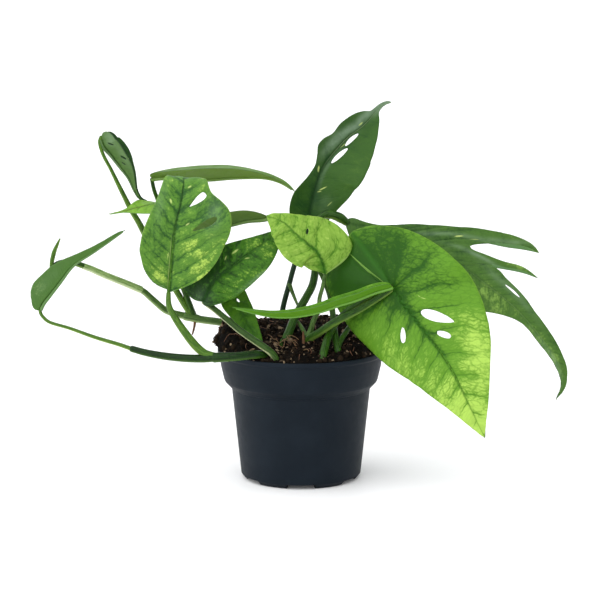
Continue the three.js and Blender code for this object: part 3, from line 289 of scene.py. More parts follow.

# How each blade is coloured. slot names a material slot; it is not used. Colours are 0-255: dark,
# middle and light skin, the veins, the rib at its base and tip, and the underside. balance sets
# the tone between dark and light, and blotch, grain, veins, net, shade and rim say how far
# clouds, fine grain, side veins, the vein net, the furrow of the rib and the pale edge show.
# quilt is the height between two side veins. laterals are where the side veins leave the rib,
# left and right, negative in the base's fan; else they are spacing apart. patches (lighter or
# darker: partly the blade's own mottling, partly painted light and shade) and the painted sheen
# (a grey highlight painted into the colour) are ovals of along, across, two radii, amount and
# sometimes a turn in degrees; marks are pale slits of along, across, half length, half width,
# turn in degrees and strength.
LOOK_USUAL = dict(
    balance=0.5, blotch=0.3, grain=0.2, veins=0.3, net=0.2, shade=0.4, rim=0.3, quilt=0.1,
    laterals=None, spacing=9, patches=(), painted_sheen=(), marks=(),
)
LEAF_LOOKS = {
    "leaf_heart": dict(
        slot="leaf_mid", dark=(42, 84, 34), middle=(88, 134, 48), light=(172, 202, 88),
        vein=(32, 74, 26), rib=(96, 148, 36), rib_tip=(30, 68, 26), under=(110, 140, 96),
        blotch=0.35, grain=0.35, veins=0.95, net=0.5, shade=0.8, quilt=0.3,
        laterals=((-7, 3, 11, 19, 28, 37, 47, 57, 68, 79), (-12, 0, 11, 22, 34, 46, 59, 71, 83)),
        patches=((13, -9, 7, 5, 0.4), (20, 21, 14, 7, 0.4), (36, 12, 8, 5, 0.35),
                 (46, 30, 12, 6, 0.12), (45, -12, 20, 8, -0.16), (70, 0, 14, 5, -0.2),
                 (62, 22, 10, 9, -0.35), (52, 3, 12, 6, -0.1)),
        painted_sheen=((62, 25, 14, 6, 0.2), (88, 0, 5, 16, 0.4), (62, -14, 14, 4, 0.2)),
        marks=((64, -7, 2, 0.8, -25, 0.8), (76, 4.4, 1.6, 0.6, 50, 0.8), (51, 8, 1.8, 0.6, 40, 0.7),
               (27, -3, 2.4, 0.5, 5, 0.6), (21, -1.4, 22, 0.4, -0.5, 0.35)),
    ),
    "leaf_high_left": dict(
        slot="leaf_dark", dark=(24, 58, 18), middle=(40, 78, 26), light=(108, 136, 80),
        vein=(24, 54, 22), rib=(90, 120, 66), rib_tip=(74, 108, 58), under=(76, 108, 50),
        balance=0.4, blotch=0.2, grain=0.15, shade=0.5, spacing=6,
        patches=((15, -9, 30, 8, -0.2), (12, 12, 30, 9, 0.15)),
        painted_sheen=((0, 12, 7, 8, 0.35), (22, 12, 16, 5, 0.15)),
    ),
    "leaf_far_left": dict(
        slot="leaf_mid", dark=(46, 84, 32), middle=(72, 112, 46), light=(116, 148, 84),
        vein=(44, 82, 34), rib=(96, 128, 62), rib_tip=(88, 116, 62), under=(74, 112, 48),
        balance=0.45, blotch=0.35, grain=0.3, net=0.3, quilt=0.15, patches=((8, 8, 10, 8, 0.2),),
        painted_sheen=((20, 8, 22, 5, 0.1),),
    ),
    "leaf_arching": dict(
        slot="leaf_mid", dark=(58, 90, 28), middle=(86, 120, 44), light=(132, 158, 84),
        vein=(56, 88, 30), rib=(120, 146, 70), rib_tip=(90, 110, 50), under=(102, 134, 46),
        grain=0.15, patches=((50, 10, 30, 10, 0.15),), painted_sheen=((40, -10, 40, 10, 0.35),),
    ),
    "leaf_olive": dict(
        slot="leaf_dark", dark=(66, 94, 40), middle=(96, 128, 60), light=(134, 154, 100),
        vein=(52, 78, 34), rib=(110, 130, 70), rib_tip=(80, 96, 50), under=(104, 136, 62),
        veins=0.4, spacing=7, painted_sheen=((20, 4, 22, 6, 0.35),),
    ),
    "leaf_mottled": dict(
        slot="leaf_mid", dark=(14, 48, 4), middle=(58, 106, 22), light=(136, 174, 62),
        vein=(18, 60, 8), rib=(28, 70, 14), rib_tip=(62, 112, 30), under=(90, 130, 70),
        balance=0.52, blotch=0.4, grain=0.4, veins=0.6, net=0.5, shade=0.8, quilt=0.25,
        laterals=((-5, 4, 13, 22, 32, 42, 52, 61), (0, 9, 18, 28, 38, 48, 57, 65)),
        patches=((22, -10, 26, 9, -0.5), (-2, 4, 12, 14, -0.4), (54, -4, 9, 2.5, 0.3),
                 (41, -7, 4, 1.8, 0.45), (36, 11, 24, 6, 0.1), (62, 4, 9, 5, 0.1)),
        painted_sheen=((1, -1, 7, 7, 0.2), (50, 17.5, 18, 1.2, 0.5)),
        marks=((33, -7.5, 2, 0.5, -30, 0.5), (41, -7, 3, 0.8, 0, 0.6), (45, 2, 2, 0.5, 30, 0.5)),
    ),
    "leaf_lime": dict(
        slot="leaf_lime", dark=(82, 128, 32), middle=(130, 168, 64), light=(166, 196, 92),
        vein=(56, 112, 26), rib=(46, 104, 22), rib_tip=(90, 140, 40), under=(140, 176, 90),
        grain=0.4, veins=0.9, net=0.6, shade=0.8, quilt=0.3,
        laterals=((-1, 7, 15, 24, 33, 43, 53), (-4, 8, 20.5, 32, 43, 53)),
        patches=((5, -3, 7, 5, -0.25), (22, -9, 14, 5, 0.15), (20, -2, 22, 2, -0.15),
                 (10, 20, 10, 8, -0.12)),
    ),
    "leaf_broad": dict(
        slot="leaf_mid", dark=(30, 74, 6), middle=(90, 138, 34), light=(164, 200, 84),
        vein=(38, 90, 12), rib=(38, 88, 14), rib_tip=(104, 156, 40), under=(120, 158, 80),
        balance=0.45, blotch=0.1, grain=0.1, veins=0.75, net=0.45, shade=0.85, quilt=0.35,
        laterals=((-44, -28, -12, 5, 22, 40, 58, 75, 90, 104),
                  (-40, -24, -8, 9, 24, 40, 55, 69, 83, 97, 110)),
        patches=((-24, -12, 26, 20, -0.42), (-24, 26, 24, 16, -0.6), (-20, 8, 24, 8, -0.4),
                 (8, -30, 26, 12, -0.1), (60, -28, 24, 13, 0.36), (80, -18, 24, 11, 0.34),
                 (92, 8, 34, 17, 0.42), (40, 28, 36, 14, 0.28), (116, 0, 22, 14, 0.44),
                 (6, 1, 16, 7, -0.3), (42, -1, 34, 4, -0.22), (30, -14, 14, 8, 0.1)),
        marks=((19, -14, 2.2, 0.3, -35, 0.6), (16, -12.5, 1.2, 0.3, -20, 0.5)), rim=0.12,
    ),
    "leaf_strap": dict(
        slot="leaf_lime", dark=(56, 104, 12), middle=(84, 136, 26), light=(128, 174, 60),
        vein=(66, 114, 20), rib=(84, 136, 26), rib_tip=(84, 136, 26), under=(82, 132, 24),
        blotch=0.35, grain=0.35, veins=0.1, shade=0.0, quilt=0.0, rim=0.1,
    ),
    "leaf_tall": dict(
        slot="leaf_dark", dark=(28, 66, 26), middle=(52, 88, 30), light=(90, 122, 48),
        vein=(26, 60, 24), rib=(24, 56, 22), rib_tip=(124, 146, 100), under=(92, 126, 92),
        balance=0.42, grain=0.12, veins=0.2, net=0.15, shade=0.7, quilt=0.08,
        laterals=((4, 18, 33, 49, 65, 80), (2, 16, 31, 46, 61, 75, 88)),
        patches=((50, 22, 30, 12, 0.2), (10, -6, 16, 8, -0.15), (30, 1, 34, 4, -0.2)),
        painted_sheen=((82, -4.5, 22, 3.5, 0.7), (60, -7, 12, 4, 0.5), (45, 2.5, 22, 1.5, 0.25),
              (14, 10, 10, 6, 0.16), (104, 0, 8, 3, 0.8)),
        marks=((26.5, 6, 3.6, 0.5, 48, 0.8), (23.5, 4, 2, 0.4, 60, 0.7),
               (38.6, -2.6, 2.6, 0.8, -25, 0.8), (82.5, -2.8, 2.2, 0.7, 0, 0.8),
               (62.6, 2, 3, 0.35, 8, 0.6), (17, 14, 3, 0.4, 30, 0.5)),
    ),
    "leaf_split": dict(
        slot="leaf_dark", dark=(34, 70, 26), middle=(70, 106, 42), light=(132, 168, 76),
        vein=(28, 62, 24), rib=(56, 94, 36), rib_tip=(96, 130, 66), under=(84, 122, 70),
        balance=0.42, veins=0.45, shade=0.3, quilt=0.15,
        patches=((125, 6, 28, 9, 0.35), (180, 0, 30, 4, 0.3), (50, -10, 26, 6, -0.15),
                 (120, -27, 22, 3, 0.35, -18), (100, -42, 22, 2.5, 0.2, -30)),
        painted_sheen=((72, -17, 26, 1.6, 0.35, -24), (106, -38, 20, 1.8, 0.35, -38),
              (95, -14, 18, 1.6, 0.4, -12), (128, -9, 24, 3, 0.3, 4), (188, 2, 25, 2, 0.25)),
        marks=((79, -19, 3.2, 0.6, -38, 0.8), (88, -23, 3.6, 0.35, -40, 0.5)),
    ),
    "leaf_low": dict(
        slot="leaf_dark", dark=(36, 80, 8), middle=(66, 112, 18), light=(104, 150, 46),
        vein=(28, 70, 10), rib=(42, 86, 16), rib_tip=(48, 92, 20), under=(90, 130, 70),
        balance=0.45, grain=0.25, net=0.4, shade=0.5, quilt=0.15, spacing=8,
        patches=((34, 0, 10, 6, -0.15),),
    ),
    "leaf_young": dict(
        slot="leaf_lime", dark=(84, 130, 36), middle=(116, 160, 54), light=(152, 188, 86),
        vein=(70, 118, 32), rib=(66, 112, 30), rib_tip=(112, 96, 50), under=(116, 158, 64),
        grain=0.3, veins=0.6, net=0.5, shade=0.6, quilt=0.15, spacing=7,
    ),
}

# Stems and stalks: each run's look, radii spread from start to end, and points along its middle
STEMS = {
    "vine_front": dict(
        trail=("dark", (3, 2.9, 3.1, 2.9, 2.7, 2.3), (
            (-13, -32, 86), (-17, -37, 92), (-22, -42.5, 96.6), (-27, -47.5, 98.4),
            (-34, -53, 99.2), (-42, -58, 99.2), (-50.5, -60.5, 99), (-59.4, -61, 98.7),
            (-68.4, -61.5, 98.2), (-78.8, -61, 98.3), (-89.2, -60, 99), (-99, -59, 100.2),
            (-108.7, -58, 102), (-117.2, -57, 104.2),
        )),
        far_stalk=("bright", (1.6, 1.4, 1.2, 1.2), (
            (-113, -57.4, 102.6), (-126, -56, 107), (-143, -55, 112), (-160, -54, 118),
            (-171, -53, 121), (-176, -52, 123), (-180, -51, 127), (-181, -50.2, 129.8),
        )),
        heart_stalk=("bright", (2.9, 3, 3, 2.7, 2.3, 1.6), (
            (-50, -60, 98.9), (-56.7, -60.5, 98.9), (-61.5, -60.5, 99.8), (-66.4, -60.3, 101.4),
            (-70.5, -59.5, 104.4), (-74.7, -58.5, 108.6), (-79.5, -57, 114.6), (-84, -55, 120.6),
            (-88, -53, 126.6), (-91, -51, 131.6), (-92, -48.4, 136.2), (-92, -46.1, 141.4),
        )),
        node=("dark", (3.6, 3.3), (
            (-60, -61, 98.8), (-54, -60.6, 98.9), (-50, -60.3, 99),
        )),
    ),
    "vine_back": dict(
        trail=("pale", (2.6, 2.8, 2.8, 2.5, 2.3, 2.2, 2.1), (
            (-34, 17, 92), (-39, 18.5, 100), (-47, 19.5, 106.8), (-59, 20, 109.4), (-72, 21, 111),
            (-81, 22, 112.8), (-89.5, 22, 114.7), (-94.6, 22, 116.1), (-99, 21, 118.3),
            (-104, 20, 122.7), (-109.5, 18.5, 128.1), (-114.4, 16.5, 132.8), (-123.5, 13, 137.8),
            (-131.7, 9, 141.7), (-141.3, 4, 146.5), (-149.4, 0, 151.1),
        )),
        node=("pale", (3.3, 3.1), (
            (-84, 22, 113.4), (-80, 22, 112.6), (-75, 21.6, 111.5),
        )),
        root=("dry", (1.2, 0.9, 0.6), (
            (-77, 21, 112), (-77.5, 20, 106.5), (-79, 19, 100.5),
        )),
        sheath=("sheath", (2.7, 2.6, 2.5, 2.45, 2.3), (
            (-116, 15.7, 134), (-124, 12.8, 138), (-132, 9, 142), (-141.3, 4.1, 146.7),
            (-149.4, 0.2, 151.2), (-155, -3.4, 154),
        )),
        tip=("mid", (2.1, 2.1, 1.9, 1.3), (
            (-148, 0.8, 150.6), (-156, -4, 154.6), (-162, -8, 157.2), (-167.4, -11.5, 158.4),
            (-172.4, -13.6, 157.8), (-176.6, -15, 155),
        )),
        rolled_leaf=("bright", (1.2, 1.6, 1.6, 1.2, 0.5), (
            (-176.9, -15, 154.3), (-176.2, -15.5, 159), (-174.4, -16.3, 166), (-172.2, -17, 171),
            (-169.9, -18, 175.8),
        )),
        high_stalk=("bright", (2.3, 2.3, 2.4, 2.3, 1.8, 1.3, 1.3), (
            (-79.5, 22, 113.5), (-85.4, 21.5, 123.2), (-91, 20.5, 133.3), (-102, 18.5, 153),
            (-111, 17, 171.2), (-117, 16, 183.3), (-121.7, 15, 191.4), (-125.6, 14.5, 199.4),
            (-131.3, 13.5, 211.5), (-136, 13, 221.6), (-140.6, 12.5, 230.5), (-142.9, 12, 237),
            (-143.7, 12, 242), (-142.4, 12, 245),
        )),
        arching_stalk=("mid", (2.2, 2, 1.8, 1.6, 1.4), (
            (-78, 22, 112.5), (-81, 21, 122), (-86, 19, 137), (-93, 15, 162.5), (-101, 12.5, 194),
            (-105, 11, 206.6), (-106.7, 10.2, 215),
        )),
        young_stalk=("bright", (1.9, 1.6, 1.4, 1.2), (
            (-77, 23.5, 112), (-80.5, 25, 121), (-86, 24, 137), (-88, 19, 152), (-89.5, 13.5, 164),
            (-91, 8.5, 176), (-91, 4, 188), (-88.6, 0.6, 197), (-87.3, -0.8, 201.3),
        )),
    ),
    "stem_centre": dict(
        stump=("dark", (3.6, 3.2), (
            (2, -16, 84), (3, -19, 95), (4, -21.5, 105),
        )),
        broad_stalk=("mid", (3, 2.8, 2.6, 2.2, 2), (
            (3.6, -21, 102), (7, -24.6, 106), (13, -31, 111), (20, -36.4, 117), (26, -38.4, 121),
            (39, -39.4, 127.7), (49, -39, 133.6), (58, -40.2, 139.6), (62.4, -41.2, 143),
        )),
        lime_stalk=("pale", (2.2, 1.8, 1.5, 1.3), (
            (4, -21.5, 104), (7, -20.6, 111), (9, -22, 118), (12.6, -23, 126), (13, -25, 134),
            (15, -27, 142), (16.9, -27.9, 151.5),
        )),
        bract=("pale", (1.8, 1.4, 0.7), (
            (4, -19.6, 104), (2.6, -15, 107.6), (-0.9, -10, 113), (-5.9, -6, 119.5),
        )),
        dry_sheath=("dry", (0.5, 1.2, 1.1, 0.6), (
            (1.6, -22, 110), (1.8, -24.4, 104), (1.6, -26.5, 98.6), (1.4, -28, 93.5),
        )),
        bud=("mid", (1.8, 1.6, 0.7), (
            (-13.6, -27, 98), (-14, -28, 102.6), (-13.6, -28.4, 105.6),
        )),
    ),
    "stalk_mottled": dict(
        stalk=("cream", (2.4, 2.5, 2.4, 2.2, 2.1), (
            (-14, -50, 86), (-16.6, -50.8, 93.7), (-20, -50.8, 99.6), (-25, -50, 103.6),
            (-33, -45.6, 108.2), (-43, -38.6, 114), (-52, -33, 120.5), (-60, -28.6, 126.4),
            (-66, -27.1, 130.6), (-68.4, -27, 132.3),
        )),
    ),
    "stalk_strap": dict(
        stalk=("mid", (2.9, 2.8, 2.4, 1.8, 1.5), (
            (14, -46, 86), (15, -50, 96.5), (16.6, -44, 102), (18.6, -36, 107.4),
            (20.6, -31.4, 111), (23.4, -29.6, 116), (27.4, -29.4, 121), (34, -31, 127.4),
            (43, -33.5, 133.5), (54, -37.4, 142), (60, -41.8, 146.2), (62.6, -45.1, 146.4),
        )),
    ),
    "stalk_tall": dict(
        stalk=("blue", (2.1, 2, 1.9, 1.8), (
            (-14, 28, 88), (-14, 30, 107), (-13.6, 29.6, 115.5), (-11.8, 29, 124.2),
            (-8.4, 29, 136.5), (-5.8, 29, 146.4), (-1, 29.6, 162), (4, 31.8, 174),
            (5.6, 32.6, 180.6),
        )),
        shoot=("pale", (1.7, 1.3, 0.9), (
            (-8.6, 28.4, 136), (-5.6, 24, 129), (-2.4, 19, 122),
        )),
    ),
    "stalk_split": dict(
        stalk=("mid", (3, 3, 2.8, 2.6, 2.4), (
            (-13, -24, 88), (-11, -21, 103), (-8, -17, 110), (-5, -12, 117), (-1, -8, 124),
            (4, -4, 132), (8.6, 0, 141), (10.6, 3.4, 155), (10.4, 8, 171), (12, 11, 183),
            (16, 12.4, 188.6), (22, 13, 189.6), (27, 13.6, 187.6), (31.7, 14, 184.5),
        )),
        collar=("mid", (2.3, 3.2, 3.6, 2.6), (
            (17, 12.6, 188.6), (23, 13.2, 188.6), (28.4, 13.8, 186.4), (33, 14.2, 183),
        )),
    ),
    "stalk_olive": dict(
        stalk=("mid", (2.6, 2.2, 1.8, 1.4), (
            (26, -36, 84), (26, -38, 98), (24.6, -32, 105), (23.6, -24, 112), (22.8, -15, 120),
            (19.6, -8, 137), (10, -6.4, 157), (-6, -5.4, 176), (-17, -4.4, 184.4),
            (-23, -4.1, 188.4),
        )),
        shoot=("mid", (2.2, 2, 1.6), (
            (25.6, -36, 101), (28.6, -29, 106), (34, -20.5, 112.6), (38, -14, 117),
        )),
    ),
    "stalk_low": dict(
        stalk=("mid", (1.6, 1.4, 1.3), (
            (-31, 8, 90), (-33, 6, 104), (-36, 1, 117), (-42, -3, 130), (-48.4, -5.4, 139.4),
            (-50.6, -5.8, 141.5),
        )),
    ),
}

# Skins of the stems, as 0-255 colours: the skin, its shaded streaks, its paler lower side, and
# how rough it is
STEM_LOOKS = {
    "dark": dict(skin=(20, 52, 8), streak=(8, 32, 4), belly=(66, 98, 34), gloss=0.26),
    "mid": dict(skin=(42, 78, 12), streak=(20, 48, 6), belly=(112, 142, 60), gloss=0.36),
    "blue": dict(skin=(34, 58, 36), streak=(22, 44, 28), belly=(62, 90, 58), gloss=0.42),
    "bright": dict(skin=(76, 110, 32), streak=(46, 80, 18), belly=(150, 176, 88), gloss=0.36),
    "pale": dict(skin=(74, 104, 46), streak=(44, 72, 26), belly=(150, 172, 112), gloss=0.4),
    "sheath": dict(skin=(138, 162, 100), streak=(92, 124, 62), belly=(204, 214, 172), gloss=0.5),
    "cream": dict(skin=(46, 76, 20), streak=(26, 52, 8), belly=(212, 218, 164), gloss=0.36),
    "dry": dict(skin=(100, 70, 46), streak=(66, 44, 28), belly=(134, 106, 78), gloss=0.7),
}


# Curves and grids


def unit(vectors):
    return vectors / np.maximum(np.linalg.norm(vectors, axis=-1, keepdims=True), 1e-12)


def ease(v):
    """0 below 0, 1 above 1, and smooth between."""
    v = np.clip(v, 0, 1)
    return v * v * (3 - 2 * v)


def spline(points, power=0):
    """A smooth curve through given points, sampled densely.

    Each span is the cubic from one point to the next whose end slopes come from the neighbours,
    with spans timed by their length to the given power: 0 times all alike, 0.5 keeps short
    spans tight. The slope past each end goes straight on.
    """
    p = np.asarray(points, float)
    p = np.vstack([2 * p[0] - p[1], p, 2 * p[-1] - p[-2]])
    a, b, c, d = p[:-3], p[1:-2], p[2:-1], p[3:]
    ab, bc, cd = (np.linalg.norm(v, axis=1)[:, None] ** power for v in (b - a, c - b, d - c))
    start = bc * ((b - a) / ab - (c - a) / (ab + bc) + (c - b) / bc)
    end = bc * ((c - b) / bc - (d - b) / (bc + cd) + (d - c) / cd)
    b, c, start, end = (v[:, None] for v in (b, c, start, end))
    u = (np.arange(SPAN_STEPS) / SPAN_STEPS)[None, :, None]
    curve = b + start * u + (3 * (c - b) - 2 * start - end) * u**2
    curve += (2 * (b - c) + start + end) * u**3
    return np.vstack([curve.reshape(-1, p.shape[1]), p[-2]])


def distances(curve):
    """Distance along a curve from its first point to each of its points."""
    steps = np.linalg.norm(np.diff(curve, axis=0), axis=1)
    return np.concatenate([[0], np.cumsum(steps)])


def look_up(wanted, known, values):
    """Values, a column at a time, read off at the wanted places between the known ones."""
    return np.stack([np.interp(wanted, known, column) for column in values.T], axis=-1)


def along(value, share):
    """A number, or numbers spread evenly from a blade's base to its tip."""
    values = np.atleast_1d(value)
    return np.interp(share, np.linspace(0, 1, len(values)), values)


def grid_faces(rows, columns, closed=False):
    """Quads between the points of a grid stored row by row; closed joins the last column on."""
    across = columns if closed else columns - 1
    row, column = np.meshgrid(np.arange(rows - 1), np.arange(across), indexing="ij")
    beside = (column + 1) % columns
    corners = (row * columns + column, row * columns + beside)
    corners += ((row + 1) * columns + beside, (row + 1) * columns + column)
    return np.stack(corners, axis=-1).reshape(-1, 4)


def lattice_noise(x, y, size, seed):
    """Smooth random values from -1 to 1: a lattice of random numbers, eased between its points."""
    lattice = np.random.default_rng(seed).uniform(-1, 1, (64, 64))
    u, v = x / size, y / size
    column, row = np.floor(u).astype(int), np.floor(v).astype(int)
    u, v = ease(u - column), ease(v - row)
    pick = lambda r, c: lattice[r % 64, c % 64]
    low = pick(row, column) * (1 - u) + pick(row, column + 1) * u
    high = pick(row + 1, column) * (1 - u) + pick(row + 1, column + 1) * u
    return low * (1 - v) + high * v


def turned(profile, turns, closed=False):
    """A profile of (radius, height) carried round the Z axis, at angles in radians.

    Point = (radius cos angle, radius sin angle, height), a row of the grid for each profile point.
    """
    radius, height = np.asarray(profile, float).T[:, :, None]
    points = [radius * np.cos(turns), radius * np.sin(turns), height + 0 * turns]
    rows = len(profile)
    faces = grid_faces(rows + (1 if closed else 0), len(turns), closed=True) % (rows * len(turns))
    return np.stack(points, axis=-1).reshape(-1, 3), faces


def rounded(profile, radius, steps=3):
    """Profile points with each inner corner cut to an arc that starts a radius before it."""
    p = np.asarray(profile, float)
    out = [p[:1]]
    u = np.linspace(0, 1, steps + 1)[:, None]
    for before, corner, after in zip(p[:-2], p[1:-1], p[2:]):
        back, on = before - corner, after - corner
        cut = min(radius, 0.45 * np.linalg.norm(back), 0.45 * np.linalg.norm(on))
        start, end = corner + cut * unit(back), corner + cut * unit(on)
        out.append((1 - u) ** 2 * start + 2 * u * (1 - u) * corner + u**2 * end)
    return np.vstack(out + [p[-1:]])


def tube(points, radii, sides=16, step=1.6):
    """A round stem along a smooth curve, with rounded ends.

    Ring point = middle + radius (side cos angle + up sin angle), side = slope x Y, and the
    radius comes from radii, spread evenly from start to end. Returns points, faces and, for the
    skin, (length along, length round, shade of the lower side).
    """
    curve = spline(points)
    run = distances(curve)
    at = np.linspace(0, run[-1], max(6, int(run[-1] / step)) + 1)
    slope = unit(look_up(at, run, np.gradient(curve, run, axis=0)))
    middle, radius = look_up(at, run, curve), along(radii, at / run[-1])
    turn = np.radians([90, 65, 40, 18])
    head = middle[0] - np.sin(turn)[:, None] * slope[0] * radius[0] * 0.7
    tail = middle[-1] + np.sin(turn[::-1])[:, None] * slope[-1] * radius[-1] * 0.7
    middle = np.vstack([head, middle, tail])
    slope = np.vstack([np.tile(slope[0], (4, 1)), slope, np.tile(slope[-1], (4, 1))])
    radius = np.concatenate([np.cos(turn) * radius[0], radius, np.cos(turn[::-1]) * radius[-1]])
    at = np.concatenate([np.zeros(4), at, np.full(4, run[-1])])
    side = unit(np.cross(slope, (0, 1, 0)))
    up = np.cross(side, slope)
    angle = np.linspace(0, TURN, sides, endpoint=False)
    ray = np.cos(angle)[None, :, None] * side[:, None] + np.sin(angle)[None, :, None] * up[:, None]
    place = middle[:, None] + radius[:, None, None] * ray
    lower = np.clip(-ray[..., 2], -1, 1)
    length, girth = at[:, None] + 0 * lower, np.cos(angle) * radius[:, None]
    skin = np.stack([length * MM, girth * MM, lower], axis=-1)
    faces = grid_faces(len(middle), sides, closed=True)[:, ::-1]
    return place.reshape(-1, 3), faces, skin.reshape(-1, 3)


def make_piece(name, shells, materials, merge=0.0, attributes=None):
    """One object from arrays: shells is a list of (points in mm, faces, material index).

    attributes maps a name to one array per shell, with three numbers a point.
    """
    points = np.concatenate([shell[0] for shell in shells]) * MM
    starts = np.cumsum([0] + [len(shell[0]) for shell in shells])
    faces, slots = [], []
    for (_, shell_faces, slot), start in zip(shells, starts):
        faces.extend((shell_faces + start).tolist())
        slots.extend([slot] * len(shell_faces))
    mesh = bpy.data.meshes.new(name)
    mesh.from_pydata(points.tolist(), [], faces)
    mesh.polygons.foreach_set("material_index", slots)
    for key, arrays in (attributes or {}).items():
        layer = mesh.attributes.new(key, "FLOAT_VECTOR", "POINT")
        layer.data.foreach_set("vector", np.concatenate(arrays).astype(np.float32).ravel())
    if merge:
        body = bmesh.new()
        body.from_mesh(mesh)
        bmesh.ops.remove_doubles(body, verts=body.verts, dist=merge * MM)
        body.to_mesh(mesh)
        body.free()
    mesh.shade_smooth()
    for material in materials:
        mesh.materials.append(material)
    piece = bpy.data.objects.new(name, mesh)
    bpy.context.scene.collection.objects.link(piece)
    return piece


# Materials

GREY = (0.5, 0.5, 0.5, 1)


class Field:
    """A value in a shader tree; sums, differences, products and powers of fields add nodes."""

    def __init__(self, graph, socket):
        self.graph, self.socket = graph, socket

    def __add__(self, other):
        return self.graph.maths("ADD", self, other)

    def __sub__(self, other):
        return self.graph.maths("SUBTRACT", self, other)

    def __mul__(self, other):
        return self.graph.maths("MULTIPLY", self, other)

    def __pow__(self, other):
        return self.graph.maths("POWER", self, other)

    def __abs__(self):
        return self.graph.maths("ABSOLUTE", self)


class Graph:
    """Adds nodes to a tree; inputs map a socket's name or number to a field or a value."""

    def __init__(self, tree):
        self.tree = tree

    def feed(self, socket, value):
        """Links a field or sets a value, where a colour of three numbers is one of 0-255."""
        if isinstance(value, Field):
            self.tree.links.new(value.socket, socket)
        else:
            as_shown = socket.type == "RGBA" and len(value) == 3
            socket.default_value = colour(value) if as_shown else value

    def node(self, kind, inputs, *outputs, **settings):
        """A new node's outputs as fields."""
        made = self.tree.nodes.new("ShaderNode" + kind)
        for key, value in settings.items():
            setattr(made, key, value)
        for key, value in inputs.items():
            self.feed(made.inputs[key], value)
        return [Field(self, made.outputs[key]) for key in outputs]

    def maths(self, operation, *values):
        return self.node("Math", dict(enumerate(values)), 0, operation=operation)[0]

    def vector(self, operation, *values, output="Vector"):
        return self.node("VectorMath", dict(enumerate(values)), output, operation=operation)[0]

    def mix(self, share, first, second):
        inputs = {0: share, 6: first, 7: second}
        return self.node("Mix", inputs, 2, data_type="RGBA", clamp_factor=True)[0]

    def step(self, value, low, high, start=0.0, end=1.0):
        """From start to end while a value goes from low to high, eased at both."""
        inputs = {"Value": value, "From Min": low, "From Max": high, "To Min": start, "To Max": end}
        return self.node("MapRange", inputs, 0, interpolation_type="SMOOTHSTEP")[0]

    def split(self, vector):
        return self.node("SeparateXYZ", {0: vector}, 0, 1, 2)

    def join(self, x, y, z):
        return self.node("CombineXYZ", {0: x, 1: y, 2: z}, 0)[0]

    def noise(self, vector, size, detail=2.0, output=0):
        """Cloudy values whose lumps are a size in millimetres."""
        inputs = {"Vector": vector, "Scale": 1 / (size * MM), "Detail": detail}
        return self.node("TexNoise", inputs, output)[0]

    def cells(self, vector, size, *outputs, **settings):
        """Voronoi cells of a size in millimetres."""
        inputs = {"Vector": vector, "Scale": 1 / (size * MM)}
        return self.node("TexVoronoi", inputs, *outputs, **settings)

    def cell_edges(self, vector, size, width):
        """1 on the edges of cells of a size in millimetres, 0 past a share of a cell."""
        (off,) = self.cells(vector, size, "Distance", feature="DISTANCE_TO_EDGE")
        return self.step(off, 0.0, width, 1, 0)

    def lines(self, count, width):
        """1 where a count is whole, 0 from a width away."""
        off = self.maths("FRACT", count + 0.5) - 0.5
        return self.step(abs(off), 0.0, width, 1, 0)

    def read(self, source):
        """The object's coordinates or an attribute by its name; any other value stays."""
        if not isinstance(source, str):
            return source
        if source == "Object":
            return self.node("TexCoord", {}, "Object")[0]
        return self.node("Attribute", {}, "Vector", attribute_name=source)[0]

    def group(self, name, inputs, *outputs):
        """Outputs of a shared group, which is built the first time it is asked for."""
        tree = bpy.data.node_groups.get(name) or GROUPS[name](name)
        given = {key: self.read(value) for key, value in inputs.items()}
        return self.node("Group", given, *outputs, node_tree=tree)


def colour(values):
    """A 0-255 display colour as the linear colour that a shader takes."""
    share = np.asarray(values, float) / 255
    linear = np.where(share <= 0.04045, share / 12.92, ((share + 0.055) / 1.055) ** 2.4)
    return (*linear.tolist(), 1.0)


def new_group(name, vectors, colours=(), numbers=None, outputs=None):
    """An empty group: its graph, its inputs as fields by name, and a function that closes it."""
    tree = bpy.data.node_groups.new(name, "ShaderNodeTree")
    outputs = outputs or {"Colour": "Color", "Roughness": "Float", "Height": "Float"}
    sockets = [("INPUT", key, "Vector", None) for key in vectors]
    sockets += [("INPUT", key, "Color", GREY) for key in colours]
    sockets += [("INPUT", key, "Float", usual) for key, usual in (numbers or {}).items()]
    sockets += [("OUTPUT", key, kind, None) for key, kind in outputs.items()]
    for direction, key, kind, usual in sockets:
        socket = tree.interface.new_socket(
            name=key, in_out=direction, socket_type="NodeSocket" + kind
        )
        if usual is not None:
            socket.default_value = usual
    g = Graph(tree)
    given = {socket.name: Field(g, socket) for socket in tree.nodes.new("NodeGroupInput").outputs}

    def close(*values):
        for socket, value in zip(tree.nodes.new("NodeGroupOutput").inputs, values):
            g.feed(socket, value)
        return tree

    return g, given, close


